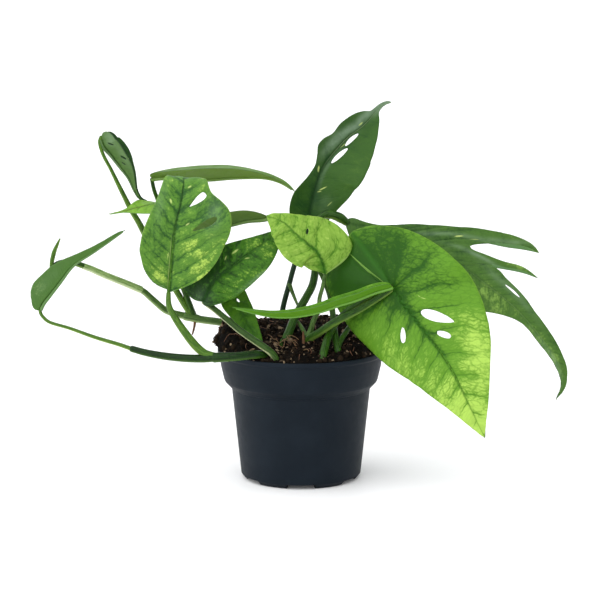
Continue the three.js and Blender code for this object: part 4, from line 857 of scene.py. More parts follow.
def blade_group(name):
    """Colour, roughness and relief of a blade, from its flat place and its vein count.

    Side veins lie where the vein count is whole, finer ones at its thirds, and the net is the
    edges of two sizes of cells, drawn out along the side veins and made wavy. The tone runs
    from dark to light by balance, patches, clouds and grain, less what the veins and the net
    take away; its light end comes in slowly. The patches are partly the blade's own mottling
    and partly painted light and shade.
    """
    g, given, close = new_group(
        name, ("Flat", "Vein", "Tone"),
        ("Dark", "Middle", "Light", "Vein Colour", "Rib Base", "Rib Tip", "Painted Sheen"),
        {"Balance": 0.5, "Blotch": 0.3, "Grain": 0.3, "Veins": 0.6, "Net": 0.35,
         "Rib Shade": 0.5, "Rim": 0.3, "Gloss": 0.4},
    )
    flat, vein_colour = given["Flat"], given["Vein Colour"]
    across = g.split(flat)[1]
    count, out_share, base_share = g.split(given["Vein"])
    patch, painted_sheen, _ = g.split(given["Tone"])

    ripple = g.vector("SUBTRACT", g.noise(flat, WAVE_SIZE, output="Color"), (0.5, 0.5, 0.5))
    wavy = g.vector("ADD", flat, g.vector("MULTIPLY", ripple, (WAVY * MM, WAVY * MM, 0)))
    cloud, mottle = g.noise(wavy, CLOUDS, 4), g.noise(wavy, MOTTLING, 3)
    fine = g.noise(flat, GRAIN, 3)
    onward, aside, page = g.split(wavy)
    leaning = g.join(onward - abs(aside) * 0.5, aside * 0.55, page)
    net, small_net = g.cell_edges(leaning, NET, 0.2), g.cell_edges(leaning, FINE_NET, 0.22)

    wander = (g.noise(flat, WANDER) - 0.5) * 0.5
    count = count + wander
    fading = g.step(out_share, 0.35, 1, 1, 0.25)
    finer = g.lines(count * 3, 0.14) * 0.45
    side_vein = g.maths("MAXIMUM", g.lines(count, 0.05), finer) * fading
    side_band = g.lines(count, 0.3) * fading

    # the patches: partly the blade's own mottling, partly painted light and shade
    tone = given["Balance"] + patch
    for share, value, low, high, amount in (
        ("Blotch", cloud, 0.3, 0.7, 0.4), ("Grain", mottle, 0.34, 0.66, 0.2),
        ("Grain", fine, 0.3, 0.7, 0.4),
    ):
        tone = tone + given[share] * g.step(value, low, high, -amount, amount)
    for share, value, weight in (
        ("Veins", side_band, 0.28), ("Veins", side_vein, 0.25), ("Net", net, 0.3),
        ("Net", small_net, 0.2),
    ):
        tone = tone - value * weight * given[share]
    tone = tone + given["Veins"] * 0.08 + given["Net"] * 0.12
    skin = g.mix(g.step(tone, 0, 0.5), given["Dark"], given["Middle"])
    skin = g.mix(g.step(tone, 0.5, 1) ** 1.5, skin, given["Light"])
    lines = g.maths("MAXIMUM", side_vein * given["Veins"], net * given["Net"] * 0.6)
    skin = g.mix(lines * 0.4, skin, vein_colour)
    # painted sheen: a grey highlight painted into the skin within the sheen ovals
    skin = g.mix(painted_sheen * g.step(cloud, 0.3, 0.7, 0.5, 1), skin, given["Painted Sheen"])

    # the rib: a soft furrow in the relief, darkened with the vein colour as painted shade in its
    # crease, with a thin line at its middle
    off_rib = abs(across + wander * (0.8 * MM))
    furrow_width, line_width = (
        g.step(base_share, 0, 1, base * MM, tip * MM) for base, tip in (FURROW, RIB_LINE)
    )
    furrow = g.step(off_rib, 0, furrow_width, 1, 0) * g.step(base_share, 0.6, 0.98, 1, 0.1)
    skin = g.mix(furrow * given["Rib Shade"], skin, vein_colour)
    rib = g.step(off_rib, RIB_LINE_CORE * MM, line_width, 1, 0)
    rib_skin = g.mix(g.step(base_share, 0.3, 0.6), given["Rib Base"], given["Rib Tip"])
    skin = g.mix(rib * 0.6, skin, rib_skin)
    skin = g.mix(g.step(out_share, 0.975, 1) * given["Rim"], skin, given["Light"])

    rough = given["Gloss"] + (fine - 0.5) * 0.16 + painted_sheen * 0.1
    height = side_band * given["Veins"] * -0.6 + side_vein * -0.3 + net * -0.14
    return close(skin, rough, height + furrow * -0.7 + fine * 0.14)


def slit_group(name):
    """Mask of one pale slit in a blade: an oval round its middle, turned and soft at its edge."""
    g, given, close = new_group(name, ("Flat", "Middle", "Turn", "Size"), outputs={"Mask": "Float"})
    inputs = dict(enumerate(given[key] for key in ("Flat", "Middle", "Turn", "Size")))
    (place,) = g.node("Mapping", inputs, 0, vector_type="TEXTURE")
    return close(g.step(g.vector("LENGTH", place, output="Value"), 0.5, 1.15, 1, 0))


def stem_group(name):
    """Colour, roughness and relief of a stem: long streaks, a paler lower side, cross rings."""
    g, given, close = new_group(
        name, ("Run",), ("Skin", "Streak", "Belly"), {"Rings": 0.0, "Gloss": 0.4}
    )
    length, girth, lower = g.split(given["Run"])
    streaks = g.noise(g.join(length * 0.08, girth, lower * 0.002), 0.45, 4)
    patches, specks = g.noise(given["Run"], 7), g.noise(given["Run"], 0.9)
    skin = g.mix(g.step(streaks, 0.42, 0.6), given["Skin"], given["Streak"])
    skin = g.mix(g.step(lower + patches * 0.5, 0.35, 1.1, 0, 0.85), skin, given["Belly"])
    skin = g.mix(g.step(specks, 0.68, 0.76, 0, 0.4), skin, SPECK_COLOUR)
    ring = g.maths("SINE", length * (TURN / (9 * MM)))
    ring = g.step(ring, 0.96, 1) * given["Rings"]
    return close(skin, given["Gloss"] + (patches - 0.5) * 0.2, streaks * 0.5 + ring)


def soil_group(name):
    """Colour and relief of soil: dark crumbs by cell, a few tan and straw ones, damp patches."""
    g, given, close = new_group(name, ("Place", "Tone"), ("Wet", "Dry", "Straw"))
    tone, pick, _ = g.split(given["Tone"])
    place = given["Place"]
    grain, patch = g.noise(place, 1.1, 3), g.noise(place, 9)
    tint, reach = g.cells(place, 1.7, "Color", "Distance")
    dry = g.step(grain * 0.6 + patch * 0.4 + tone * 0.4, 0.45, 0.95)
    skin = g.mix(dry, given["Wet"], given["Dry"])
    cell = g.split(tint)[0]
    strawy = g.maths("MAXIMUM", g.step(cell, 0.965, 0.985), g.step(pick, 0.95, 0.98))
    skin = g.mix(strawy * 0.85, skin, given["Straw"])
    return close(skin, g.step(patch, 0.35, 0.7, 0.95, 0.7), grain + reach * -0.7)


def plastic_group(name):
    """Colour, roughness and relief of moulded plastic: cloudy tone, fine pitting and scuffs."""
    g, given, close = new_group(name, ("Place",), ("Base", "Dust"))
    place = given["Place"]
    cloud, pits, scuff = g.noise(place, 24, 3), g.noise(place, 0.7), g.noise(place, 5, 4)
    skin = g.mix(g.step(cloud, 0.35, 0.75, 0, 0.35), given["Base"], given["Dust"])
    skin = g.mix(g.step(scuff, 0.6, 0.75, 0, 0.25), skin, given["Dust"])
    return close(skin, scuff * 0.2 + 0.44, pits)


GROUPS = {
    "Blade surface": blade_group, "Pale slit": slit_group, "Stem skin": stem_group,
    "Soil crumbs": soil_group, "Moulded plastic": plastic_group,
}


def surface(name, group, values, relief, shine=0.5, glow=None, emission=0.0, marks=()):
    """A material: one group's colour, roughness and height into a Principled shader.

    values maps the group's inputs to numbers, colours or an attribute's name; relief is the
    height of the bump in millimetres; glow is the colour of light let through, if any; marks are
    pale slits, each the values of the slit group's inputs and its strength.
    """
    material = bpy.data.materials.new(name)
    material.use_nodes = True
    material.node_tree.nodes.clear()
    g = Graph(material.node_tree)
    tint, rough, height = g.group(group, values, "Colour", "Roughness", "Height")
    for middle, turn, size, strength in marks:
        inputs = {"Flat": "flat", "Middle": middle, "Turn": turn, "Size": size}
        (mask,) = g.group("Pale slit", inputs, "Mask")
        tint = g.mix(mask * strength, tint, SLIT_COLOUR)
    (bump,) = g.node("Bump", {"Height": height, "Strength": 1.0, "Distance": relief * MM}, 0)
    (last,) = g.node("BsdfPrincipled", {
        "Base Color": tint, "Roughness": rough, "Normal": bump, "Specular IOR Level": shine,
        "Emission Strength": emission,
    }, 0)
    if glow is not None:
        (through,) = g.node("BsdfTranslucent", {"Color": glow}, 0)
        (last,) = g.node("MixShader", {0: LIGHT_THROUGH, 1: last, 2: through}, 0)
    g.node("OutputMaterial", {"Surface": last})
    return material


def stem_surface(name, look, relief, rings=0.0, shine=0.5, run="run"):
    """A stem's skin in the colours of a look."""
    values = {"Run": run, "Skin": look["skin"], "Streak": look["streak"], "Belly": look["belly"],
              "Rings": rings, "Gloss": look["gloss"]}
    return surface(name, "Stem skin", values, relief, shine=shine)


# Blades


def rib_frame(spec, s):
    """The rib's place, face, outward way and share at the lengths s along it, and its length."""
    rib = spline(spec["rib"])
    run = distances(rib)
    held = np.clip(s, 0, run[-1])
    slope = unit(look_up(held, run, np.gradient(rib, run, axis=0)))
    middle = look_up(held, run, rib) + slope * (s - held)[..., None]
    share = held / run[-1]
    faces = np.asarray(spec["face"], float)
    normal = look_up(share, np.linspace(0, 1, len(faces)), faces)
    normal = unit(normal - slope * np.sum(normal * slope, axis=-1, keepdims=True))
    return middle, normal, np.cross(slope, normal), share, run[-1]


def bend(spec, flat, lift=0.0):
    """Flat points (s along, t across) to their place in space.

    From the rib's point at s, each half goes out along an arc that starts at the half's fold
    angle and turns by its curl within the reach; the margin's wave grows with distance squared.
    """
    s, t = flat.T
    middle, normal, outward, share, length = rib_frame(spec, s)
    left = t < 0
    fold, curl = (
        np.where(left, along(spec[key][0], share), along(spec[key][1], share))
        for key in ("fold", "curl")
    )
    fold = np.radians(fold)
    radius = spec["reach"] / np.radians(np.where(curl == 0, 0.01, curl))
    reach = np.abs(t)
    wide = radius * (np.sin(fold + reach / radius) - np.sin(fold))
    height, waves, start = spec["wave"]
    phase = TURN * waves * s / length + start + np.where(left, 0, WAVE_SHIFT)
    rise = radius * (np.cos(fold) - np.cos(fold + reach / radius))
    rise = rise + height * (reach / spec["reach"]) ** 2 * np.sin(phase) + lift
    return middle + outward * np.where(left, -wide, wide)[..., None] + normal * rise[..., None]


def margin(points, roots, length, lean):
    """A half's outline, sampled densely: its points, its length run, and where each point's
    vein line leaves the rib, which is lean times its distance across further back."""
    p = np.vstack([(0, 0), points, (length, 0)])
    if roots is None:
        roots = np.maximum.accumulate(np.maximum(0, p[:, 0] - lean * p[:, 1]))[1:-1]
    roots = np.concatenate([[0], roots, [length]])
    curve = spline(p, 0.5)
    root = np.interp(np.arange(len(curve)), np.arange(len(p)) * SPAN_STEPS, roots)
    return curve, distances(curve), root


def blade_grid(spec, columns, rows):
    """Both halves as grids of flat points with their vein lines.

    A column is a curved line from the rib, or from the base where the lobes fan out, to the
    margin; point = quadratic curve from root to margin, bowed towards the tip. Returns, for each
    half, flat points, (root along the rib, share out, share along) and faces. In the base's fan
    the root is negative: half the distance round the margin to the fan's end.
    """
    length = distances(spline(spec["rib"]))[-1]
    halves = (
        margin(spec["left"], spec["left_roots"], length, spec["lean"][0]),
        margin(spec["right"], None, length, spec["lean"][1]),
    )
    level = np.linspace(0, length, 2000)[1:]
    runs = []
    for curve, run, root in halves:
        fan_end = run[root <= 1e-6][-1]
        lift = root + 1e-6 * run
        runs.append((fan_end, np.interp(level, lift[run >= fan_end], run[run >= fan_end])))
    weight = level + 0.6 * sum(reached - fan_end for fan_end, reached in runs)
    for s, t, end_s, *_ in spec["slots"]:
        middle = (s + end_s) / 2 - 0.6 * abs(t)
        weight = weight + 9 * np.tanh((level - middle) / 8)
    chosen = np.interp(np.linspace(weight[0], weight[-1], columns), weight, level)
    out = []
    for side, (curve, run, root), (fan_end, reached) in zip((-1, 1), halves, runs):
        fan = np.linspace(0, fan_end, max(2, int(fan_end / FAN_STEP)))
        place = np.concatenate([fan, np.interp(chosen, level, reached)])
        start = np.concatenate([0 * fan, chosen])
        line = np.concatenate([0.5 * (fan - fan_end), chosen])
        grown = np.concatenate([fan / max(fan_end, 1e-6), np.ones(len(chosen))])
        bow = spec["bow"] * grown
        edge = look_up(place, run, curve)
        v = np.linspace(0, 1, rows + 1)[:, None]
        ahead = edge[:, 0] - start
        s = start + 2 * v * (1 - v) * (0.5 - bow) * ahead + v**2 * ahead
        t = side * (2 * v * (1 - v) * (0.5 + 0.5 * bow) + v**2) * edge[:, 1]
        flat = np.stack([s, t], axis=-1).reshape(-1, 2)
        vein = np.stack([line + 0 * v, v + 0 * line, np.clip(s / length, 0, 1)], axis=-1)
        faces = grid_faces(rows + 1, len(place))
        out.append((flat, vein.reshape(-1, 3), faces if side < 0 else faces[:, ::-1]))
    return out


def cut_slots(flat, faces, slots):
    """Drops the faces inside each slot and draws the border's points to the slot's edge.

    A slot is an oval: at a share u of its length its half width is u^a (1-u)^b, scaled to the
    given half width at its widest, with a and b the sharpness of its two ends.
    """
    for s0, t0, s1, t1, half, sharp0, sharp1 in slots:
        start, reach = np.array([s0, t0]), np.array([s1 - s0, t1 - t0])
        aside = unit(np.array([-reach[1], reach[0]]))
        swell = lambda u: u**sharp0 * (1 - u) ** sharp1
        widest = swell(sharp0 / (sharp0 + sharp1))

        def measure(points):
            share = (points - start) @ reach / (reach @ reach)
            held = np.clip(share, 0, 1)
            return share, held, (points - start) @ aside, half * swell(held) / widest

        share, _, off, width = measure(flat[faces].mean(axis=1))
        inside = (np.abs(off) < width) & (share > 0) & (share < 1)
        border = np.intersect1d(faces[inside], faces[~inside])
        _, held, off, width = measure(flat[border])
        flat[border] = start + held[:, None] * reach + (np.sign(off) * width)[:, None] * aside
        faces = faces[~inside]
    return flat, faces


def vein_count(root, look, side, index):
    """How many side veins lie before each root, not whole between them.

    The veins' places are the look's own laterals, or spacing apart with a seeded jitter; the
    count goes on at that pace past the first and last.
    """
    if look["laterals"]:
        places = np.array(look["laterals"][side], float)
    else:
        jitter = np.random.default_rng(index + 40 * side).uniform(-0.25, 0.25, 60)
        places = (np.arange(60) - 12 + jitter) * look["spacing"]
    pace = (places[-1] - places[0]) / (len(places) - 1)
    places = np.concatenate([[places[0] - 20 * pace], places, [places[-1] + 20 * pace]])
    counts = np.concatenate([[-20], np.arange(len(places) - 2), [len(places) + 17]])
    return np.interp(root, places, counts)


def ovals(flat, listed):
    """Sum of soft ovals, turned by degrees: amount times exp(-(x / radius)^2 - (y / radius)^2)."""
    total = np.zeros(len(flat))
    for s, t, wide, high, amount, *turn in listed:
        angle = math.radians(sum(turn))
        off, up = flat[:, 0] - s, flat[:, 1] - t
        x = off * math.cos(angle) + up * math.sin(angle)
        y = up * math.cos(angle) - off * math.sin(angle)
        total += amount * np.exp(-((x / wide) ** 2) - (y / high) ** 2)
    return total


def blade_surfaces(name, look, index):
    """The blade's upper side, underside, edge and the ridge under its rib."""
    dark, middle, light, under = (look[key] for key in ("dark", "middle", "light", "under"))
    both = {
        "Flat": "flat", "Vein": "vein", "Tone": "tone", "Rib Base": look["rib"],
        "Rib Tip": look["rib_tip"], "Painted Sheen": PAINTED_SHEEN_COLOUR, "Rim": look["rim"], "Light": light,
        "Blotch": look["blotch"], "Grain": look["grain"],
    }
    upper = {
        **both, "Dark": dark, "Middle": middle, "Vein Colour": look["vein"], "Gloss": 0.4,
        "Balance": look["balance"], "Veins": look["veins"], "Net": look["net"],
        "Rib Shade": look["shade"],
    }
    lower = {
        **both, "Dark": tuple(0.65 * a + 0.35 * b for a, b in zip(under, middle)),
        "Middle": under, "Vein Colour": middle, "Gloss": 0.5, "Balance": 0.4,
        "Veins": 0.4 * look["veins"], "Net": 0.5 * look["net"], "Rib Shade": 0.2,
    }
    marks = [
        ((s * MM, t * MM, LAYER * index), (0, 0, math.radians(turn)), (half * MM, wide * MM, 1),
         strength)
        for s, t, half, wide, turn, strength in look["marks"]
    ]
    edge = dict(skin=dark, streak=look["vein"], belly=dark, gloss=0.4)
    ridge = dict(skin=under, streak=middle, belly=under, gloss=0.4)
    sheen = dict(shine=LEAF_SHINE, glow=light)
    return [
        surface(name + "_upper", "Blade surface", upper, relief=0.35, marks=marks, **sheen),
        surface(name + "_under", "Blade surface", lower, relief=-0.3, **sheen),
        stem_surface(name + "_edge", edge, relief=0.1, run="flat"),
        stem_surface(name + "_rib", ridge, relief=0.2, run="flat"),
    ]


def make_blade(name, spec, look, index, thickness):
    """One blade: two grids over its outline, bent to place, with a ridge under the rib."""
    widest = max(abs(t) for _, t in spec["left"] + spec["right"])
    length = distances(spline(spec["rib"]))[-1]
    rows = int(np.clip(widest / ROW_STEP, 10, 30))
    columns = int(np.clip(length / COLUMN_STEP, 60, 230))
    shells, layers = [], {"flat": [], "vein": [], "tone": []}

    def add(shell, *values):
        shells.append(shell)
        for layer, value in zip(layers.values(), values):
            layer.append(value)

    for side, (flat, vein, faces) in enumerate(blade_grid(spec, columns, rows)):
        flat, faces = cut_slots(flat, faces, spec["slots"])
        count = vein_count(vein[:, 0], look, side, index)
        swell = np.sin(math.pi * np.clip(vein[:, 1], 0, 1)) ** 0.5
        lift = -look["quilt"] * np.cos(TURN * count) * swell
        # patches: partly the blade's own mottling, partly painted light and shade
        mottle_and_painted_light, painted_sheen_amount = ovals(flat, look["patches"]), ovals(flat, look["painted_sheen"])
        add(
            (bend(spec, flat, lift), faces, 0),
            np.column_stack([flat * MM, np.full(len(flat), LAYER * index)]),
            np.column_stack([count + 7 * side, vein[:, 1:]]),
            # the tone attribute also carries the share of painted sheen, a grey highlight painted
            # into the colour
            np.column_stack([mottle_and_painted_light, painted_sheen_amount, 0 * painted_sheen_amount]),
        )
    middle, normal, *_ = rib_frame(spec, np.linspace(0, length * 0.97, RIB_STEPS))
    ridge = np.linspace(*RIB_RADII, RIB_STEPS) * (0.8 if widest < 15 else 1)
    drop = ridge + 0.5 * thickness / MM - 0.1
    points, faces, skin = tube(middle - normal * drop[:, None], ridge, sides=10, step=2)
    add((points, faces, 3), skin, skin, 0 * skin)
    surfaces = blade_surfaces(name, look, index)
    piece = make_piece(name + "_blade", shells, surfaces, merge=0.02, attributes=layers)
    wall = piece.modifiers.new("Thickness", "SOLIDIFY")
    wall.thickness = thickness
    wall.offset = 0
    wall.material_offset = 1
    wall.material_offset_rim = 2
    return piece


# Soil


def soil_height(x, y):
    """Height of the soil: heaped at the middle and back, low at the front of the rim.

    The level dips at the rim, the mound grows from the front on, and lumps lie on both, a third
    as high at the rim.
    """
    shoulder = ease((SOIL_EDGE - np.hypot(x, y)) / SOIL_SHOULDER)
    back = SOIL_FRONT_SHARE + (1 - SOIL_FRONT_SHARE) * ease((y - SOIL_FRONT) / SOIL_SLOPE)
    level = SOIL_LEVEL - SOIL_DIP + SOIL_DIP * shoulder + SOIL_MOUND * shoulder * back
    lumps = sum(
        height * lattice_noise(x + shift, y + shift, width, seed)
        for height, width, seed, shift in SOIL_LUMPS
    )
    return level + (0.35 + 0.65 * shoulder) * lumps


def soil_top(x, y, lift=0.0):
    """Points of the soil's top over flat places, with a bulge over the rim at the left.

    The bulge moves a point outwards and up, by shares that grow with the radius.
    """
    reach = np.hypot(x, y)
    turn = (np.arctan2(y, x) - BULGE_TURN + math.pi) % TURN - math.pi
    bulge = BULGE * np.exp(-((turn / BULGE_SPREAD) ** 2))
    out = 1 + bulge / SOIL_EDGE * ease((reach - BULGE_OUT_FROM) / BULGE_OUT_OVER)
    up = 0.9 * bulge * ease((reach - BULGE_UP_FROM) / BULGE_UP_OVER)
    return np.stack([x * out, y * out, soil_height(x, y) + up + lift], axis=-1)


def crumbs(rng, count):
    """Loose crumbs on the soil: balls of 20 faces, stretched, dented, turned and strewn.

    Returns points, faces and each point's (shade, straw, 0) for the look of its crumb.
    """
    ball = bmesh.new()
    bmesh.ops.create_icosphere(ball, subdivisions=1, radius=1)
    base = np.array([v.co for v in ball.verts])
    base_faces = np.array([[v.index for v in f.verts] for f in ball.faces])
    ball.free()
    radius = CRUMB_CIRCLE * np.sqrt(rng.uniform(0, 1, count))
    turn = rng.uniform(0, TURN, count)
    size = CRUMB_LEAST + CRUMB_SPREAD * rng.uniform(0, 1, count) ** 2.5
    centre = soil_top(radius * np.cos(turn), radius * np.sin(turn), 0.15 * size)
    stretch = rng.uniform(0.55, 1.35, (count, 1, 3))
    bumps = 1 + rng.uniform(-CRUMB_DENT, CRUMB_DENT, (count, len(base), 1))
    tilt = np.linalg.qr(rng.normal(size=(count, 3, 3)))[0]
    tilt *= np.sign(np.linalg.det(tilt))[:, None, None]
    lumps = np.einsum("nij,nkj->nki", tilt, base * stretch * bumps * size[:, None, None])
    number = (np.arange(count) * len(base))[:, None, None]
    pick = np.repeat(rng.uniform(0, 1, (count, 2)), len(base), axis=0)
    points = (lumps + centre[:, None]).reshape(-1, 3)
    return points, (base_faces + number).reshape(-1, 3), np.column_stack([pick, 0 * pick[:, 0]])


def root_route(rng):
    """A short hooked root fibre lying on the soil anywhere within the rim."""
    reach, turn = ROOT_CIRCLE * math.sqrt(rng.uniform()), rng.uniform(0, TURN)
    way, length = rng.uniform(0, TURN), rng.uniform(*ROOT_LENGTHS)
    steps = np.linspace(-0.5, 0.5, 5) * length
    hook = rng.uniform(-1, 1) * steps**2 / length
    x = reach * math.cos(turn) + steps * math.cos(way) - hook * math.sin(way)
    y = reach * math.sin(turn) + steps * math.sin(way) + hook * math.cos(way)
    keep = np.minimum(1, ROOT_EDGE / np.maximum(np.hypot(x, y), 1e-6))
    return soil_top(x * keep, y * keep, rng.uniform(0.2, 1.4, 5))


def straw_route(rng):
    """A straight straw of the small heap at the front, one end up."""
    x, y = np.array(STRAW_HEAP) + rng.normal(0, 5, 2)
    way, rise = rng.uniform(0, math.pi), rng.uniform(-0.2, 0.7)
    length = rng.uniform(*STRAW_LENGTHS)
    steps = np.linspace(-0.5, 0.5, 5) * length
    route = soil_top(x + steps * math.cos(way), y + steps * math.sin(way), 1.6)
    route[:, 2] += rise * (steps + length / 2) + 0.5 * rng.normal(size=5)
    return route


# Pot


def pot_floor(flat, faces):
    """A closed plate over a flat grid, between the floor's two levels, walls at its holes too."""
    count = len(flat)
    low, high = (np.column_stack([flat, np.full(count, z)]) for z in (FLOOR_BOTTOM, FLOOR_TOP))
    edges = np.stack([faces, np.roll(faces, -1, axis=1)], axis=-1).reshape(-1, 2)
    there, back = edges @ (count, 1), edges @ (1, count)
    a, b = edges[~np.isin(there, back)].T
    walls = np.stack([b, a, count + a, count + b], axis=-1)
    return np.vstack([low, high]), np.vstack([faces, faces[:, ::-1] + count, walls])


# Settings


class PothosSettings(PropertyGroup):
    """What a user would change on the plant, its pot and its light."""

    blade_thickness: FloatProperty(
        name="Blade thickness", description="Thickness of every blade", default=0.0005,
        min=0.0002, max=0.0012, unit="LENGTH", subtype="DISTANCE",
    )
    pot_colour: FloatVectorProperty(
        name="Pot colour", description="Plastic of the nursery pot",
        default=(0.0024, 0.0062, 0.011), size=3, min=0, max=1, subtype="COLOR",
    )
    soil_colour: FloatVectorProperty(
        name="Soil colour", description="Damp potting soil", default=(0.0022, 0.0016, 0.0011),
        size=3, min=0, max=1, subtype="COLOR",
    )
    straw_colour: FloatVectorProperty(
        name="Straw colour", description="Fibres and bark flecks in the soil",
        default=(0.22, 0.16, 0.1), size=3, min=0, max=1, subtype="COLOR",
    )
    crumb_count: IntProperty(
        name="Crumbs", description="Number of loose crumbs on the soil", default=2200, min=0,
        max=4000,
    )
    key_strength: FloatProperty(
        name="Key light", description="Strength of the soft main light", default=2.7, min=0,
    )
    sky_strength: FloatProperty(
        name="Studio light", description="Strength of the light from all round", default=0.93,
        min=0,
    )


# Pieces


class POTHOS_OT_stage(Operator):
    """Adds the floor, the studio light and the camera"""

    bl_idname = "pothos.stage"
    bl_label = "Stage, light and camera"

    def execute(self, context):
        settings, scene = context.scene.pothos, context.scene
        scene.view_settings.view_transform = "Standard"
        corners = PAPER_HALF * np.array([(-1, -1, 0), (1, -1, 0), (1, 1, 0), (-1, 1, 0)])
        values = {"Place": "Object", "Base": PAPER_WHITE, "Dust": PAPER_GREY}
        paper = surface("studio_paper", "Moulded plastic", values, relief=0, emission=PAPER_GLOW)
        floor = make_piece("studio_floor", [(corners, np.array([[0, 1, 2, 3]]), 0)], [paper])

        world = bpy.data.worlds.new("studio")
        scene.world = world
        world.use_nodes = True
        g = Graph(world.node_tree)
        back = world.node_tree.nodes["Background"]
        g.feed(back.inputs["Color"], SKY_COLOUR)
        way = g.split(g.node("TexCoord", {}, "Generated")[0])[0]
        bright, dim = (settings.sky_strength * (1 + change) for change in (SKY_LEAN, -SKY_LEAN))
        g.feed(back.inputs["Strength"], g.step(way, -1, 1, bright, dim))

        for name, (way, share, width) in LAMPS.items():
            lamp = bpy.data.lights.new(name, "SUN")
            lamp.energy = settings.key_strength * share
            lamp.angle = math.radians(width)
            holder = bpy.data.objects.new(name, lamp)
            holder.rotation_euler = Vector(way).to_track_quat("-Z", "Y").to_euler()
            scene.collection.objects.link(holder)

        lens = bpy.data.cameras.new("camera")
        lens.lens, lens.sensor_width = CAMERA_LENS, SENSOR_WIDTH
        lens.clip_start, lens.clip_end = 0.05, 100
        camera = bpy.data.objects.new("camera", lens)
        place, target = Vector(CAMERA_PLACE) * MM, Vector(CAMERA_TARGET) * MM
        camera.location = place
        camera.rotation_euler = (target - place).to_track_quat("-Z", "Y").to_euler()
        scene.collection.objects.link(camera)
        scene.camera = camera
        return {"FINISHED"}


class POTHOS_OT_pot(Operator):
    """Adds the nursery pot: turned wall, six feet and a floor with drain holes"""

    bl_idname = "pothos.pot"
    bl_label = "Pot"

    def execute(self, context):
        tint = context.scene.pothos.pot_colour
        profile = rounded(POT_OUTSIDE + POT_INSIDE, POT_CORNER)
        centres = (np.arange(FEET) + 0.5) * TURN / FEET
        edges = np.concatenate([centres - NOTCH_HALF_TURN, centres + NOTCH_HALF_TURN])
        turns = np.linspace(0, TURN, WALL_SIDES, endpoint=False)
        turns = np.sort(np.concatenate([turns, edges - 1e-4, edges + 1e-4]))
        points, faces = turned(profile, turns, closed=True)
        away = np.abs((np.arctan2(points[:, 1], points[:, 0]) % (TURN / FEET)) - math.pi / FEET)
        points[(away < NOTCH_HALF_TURN) & (points[:, 2] < FLOOR_BOTTOM), 2] = FLOOR_BOTTOM
        shells = [(points, faces[:, ::-1], 0)]

        # the floor, a polar grid whose faces within a drain hole are dropped, on both sides
        rings = np.linspace(0.5, FLOOR_RADIUS, FLOOR_RINGS)
        turns = np.linspace(0, TURN, FLOOR_SIDES, endpoint=False)
        disc, faces = turned(np.column_stack([rings, 0 * rings]), turns)
        holes = DRAIN_CIRCLE * np.column_stack([np.cos(centres), np.sin(centres)])
        holes = [(x - DRAIN_RADIUS, y, x + DRAIN_RADIUS, y, DRAIN_RADIUS, 0.5, 0.5)
                 for x, y in holes]
        points, faces = pot_floor(*cut_slots(disc[:, :2], faces, holes))
        shells.append((points, faces[:, ::-1], 0))
        boss = ((0.01, 0), (BOSS_RADIUS, 0), (BOSS_RADIUS, BOSS_HEIGHT), (0.01, BOSS_HEIGHT))
        points, faces = turned(rounded(boss, BOSS_CORNER), turns[::3])
        shells.append((points, faces[:, ::-1], 0))
        dust = [min(1, 1.5 * part + 0.004) for part in tint]
        values = {"Place": "Object", "Base": (*tint, 1), "Dust": (*dust, 1)}
        plastic = surface("pot_plastic", "Moulded plastic", values, relief=0.05, shine=POT_SHINE)
        piece = make_piece("nursery_pot", shells, [plastic], merge=0.01)
        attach(piece, "root")
        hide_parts("pot")
        return {"FINISHED"}


class POTHOS_OT_soil(Operator):
    """Adds the soil: a heaped, crumbly top, loose crumbs and fibres"""

    bl_idname = "pothos.soil"
    bl_label = "Soil"

    def execute(self, context):
        settings = context.scene.pothos
        rng = np.random.default_rng(11)
        turns = np.linspace(0, TURN, SOIL_SIDES, endpoint=False)
        rings = np.linspace(0.01, SOIL_EDGE, SOIL_RINGS)
        points, faces = turned(np.vstack([np.column_stack([rings, 0 * rings]), SOIL_SIDE]), turns)
        top = len(rings) * len(turns)
        points[:top] = soil_top(points[:top, 0], points[:top, 1])
        loose, loose_faces, tone = crumbs(rng, settings.crumb_count)
        values = {
            "Place": "Object", "Tone": "tone", "Wet": (*settings.soil_colour, 1),
            "Dry": DRY_SOIL, "Straw": (*settings.straw_colour, 1),
        }
        soil = surface("soil_crumbs", "Soil crumbs", values, relief=0.6, shine=SOIL_SHINE)
        piece = make_piece(
            "potting_soil", [(points, faces, 0), (loose, loose_faces, 0)], [soil], merge=0.001,
            attributes={"tone": [0 * points, tone]},
        )
        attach(piece, "root")
        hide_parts("soil")

        strands, skins = [], []
        for slot, (route, number, radii) in enumerate((
            (root_route, ROOT_FIBRES, ROOT_RADII), (straw_route, STRAWS, STRAW_RADII),
        )):
            for _ in range(number):
                points, faces, skin = tube(route(rng), radii, sides=5, step=1.2)
                strands.append((points, faces, slot))
                skins.append(skin)
        fibres = [stem_surface(name, look, relief=0.1) for name, look in FIBRE_LOOKS.items()]
        piece = make_piece("soil_fibres", strands, fibres, merge=0.001, attributes={"run": skins})
        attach(piece, "root")
        return {"FINISHED"}


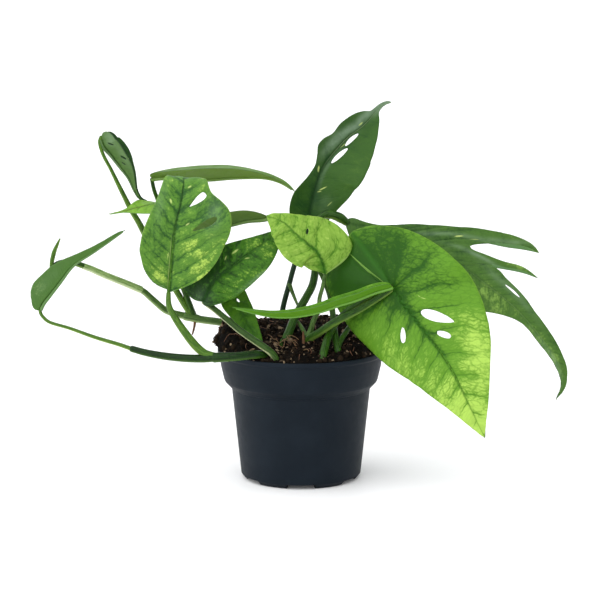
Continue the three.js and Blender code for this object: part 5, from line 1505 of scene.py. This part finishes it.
class POTHOS_OT_stems(Operator):
    """Adds the two trailing vines, the central stem and the stalks"""

    bl_idname = "pothos.stems"
    bl_label = "Vines and stalks"

    def execute(self, context):
        looks = list(STEM_LOOKS)
        skins = [
            stem_surface("stem_" + name, look, relief=0.25, rings=0.35, shine=STEM_SHINE)
            for name, look in STEM_LOOKS.items()
        ]
        for name, parts in STEMS.items():
            shells, runs = [], []
            for look, radii, route in parts.values():
                points, faces, skin = tube(route, radii)
                shells.append((points, faces, looks.index(look)))
                runs.append(skin)
            piece = make_piece(name + "_stem", shells, skins, merge=0.005, attributes={"run": runs})
            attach(piece, "root")
            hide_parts(name)
        return {"FINISHED"}


class POTHOS_OT_leaves(Operator):
    """Adds the thirteen blades with their slots, veins and ribs"""

    bl_idname = "pothos.leaves"
    bl_label = "Leaves"

    def execute(self, context):
        thickness = context.scene.pothos.blade_thickness
        for index, (name, spec) in enumerate(BLADES.items()):
            look = {**LOOK_USUAL, **LEAF_LOOKS[name]}
            piece = make_blade(name, {**BLADE_USUAL, **spec}, look, index, thickness)
            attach(piece, "root")
            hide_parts(name)
        return {"FINISHED"}


class POTHOS_PT_panel(Panel):
    """Lists the plant's pieces and settings"""

    bl_idname = "POTHOS_PT_panel"
    bl_label = "Potted pothos"
    bl_space_type = "VIEW_3D"
    bl_region_type = "UI"
    bl_category = "Pothos"

    def draw(self, context):
        for name in PothosSettings.__annotations__:
            self.layout.prop(context.scene.pothos, name)
        for piece in PIECES:
            self.layout.operator(piece.bl_idname)


PIECES = (POTHOS_OT_stage, POTHOS_OT_pot, POTHOS_OT_soil, POTHOS_OT_stems, POTHOS_OT_leaves)
CLASSES = (PothosSettings, *PIECES, POTHOS_PT_panel)


def register():
    for item in CLASSES:
        bpy.utils.register_class(item)
    bpy.types.Scene.pothos = PointerProperty(type=PothosSettings)


def unregister():
    del bpy.types.Scene.pothos
    for item in reversed(CLASSES):
        bpy.utils.unregister_class(item)


def main():
    register()
    for piece in PIECES:
        group, name = piece.bl_idname.split(".")
        getattr(getattr(bpy.ops, group), name)()


if __name__ == "__main__":
    main()
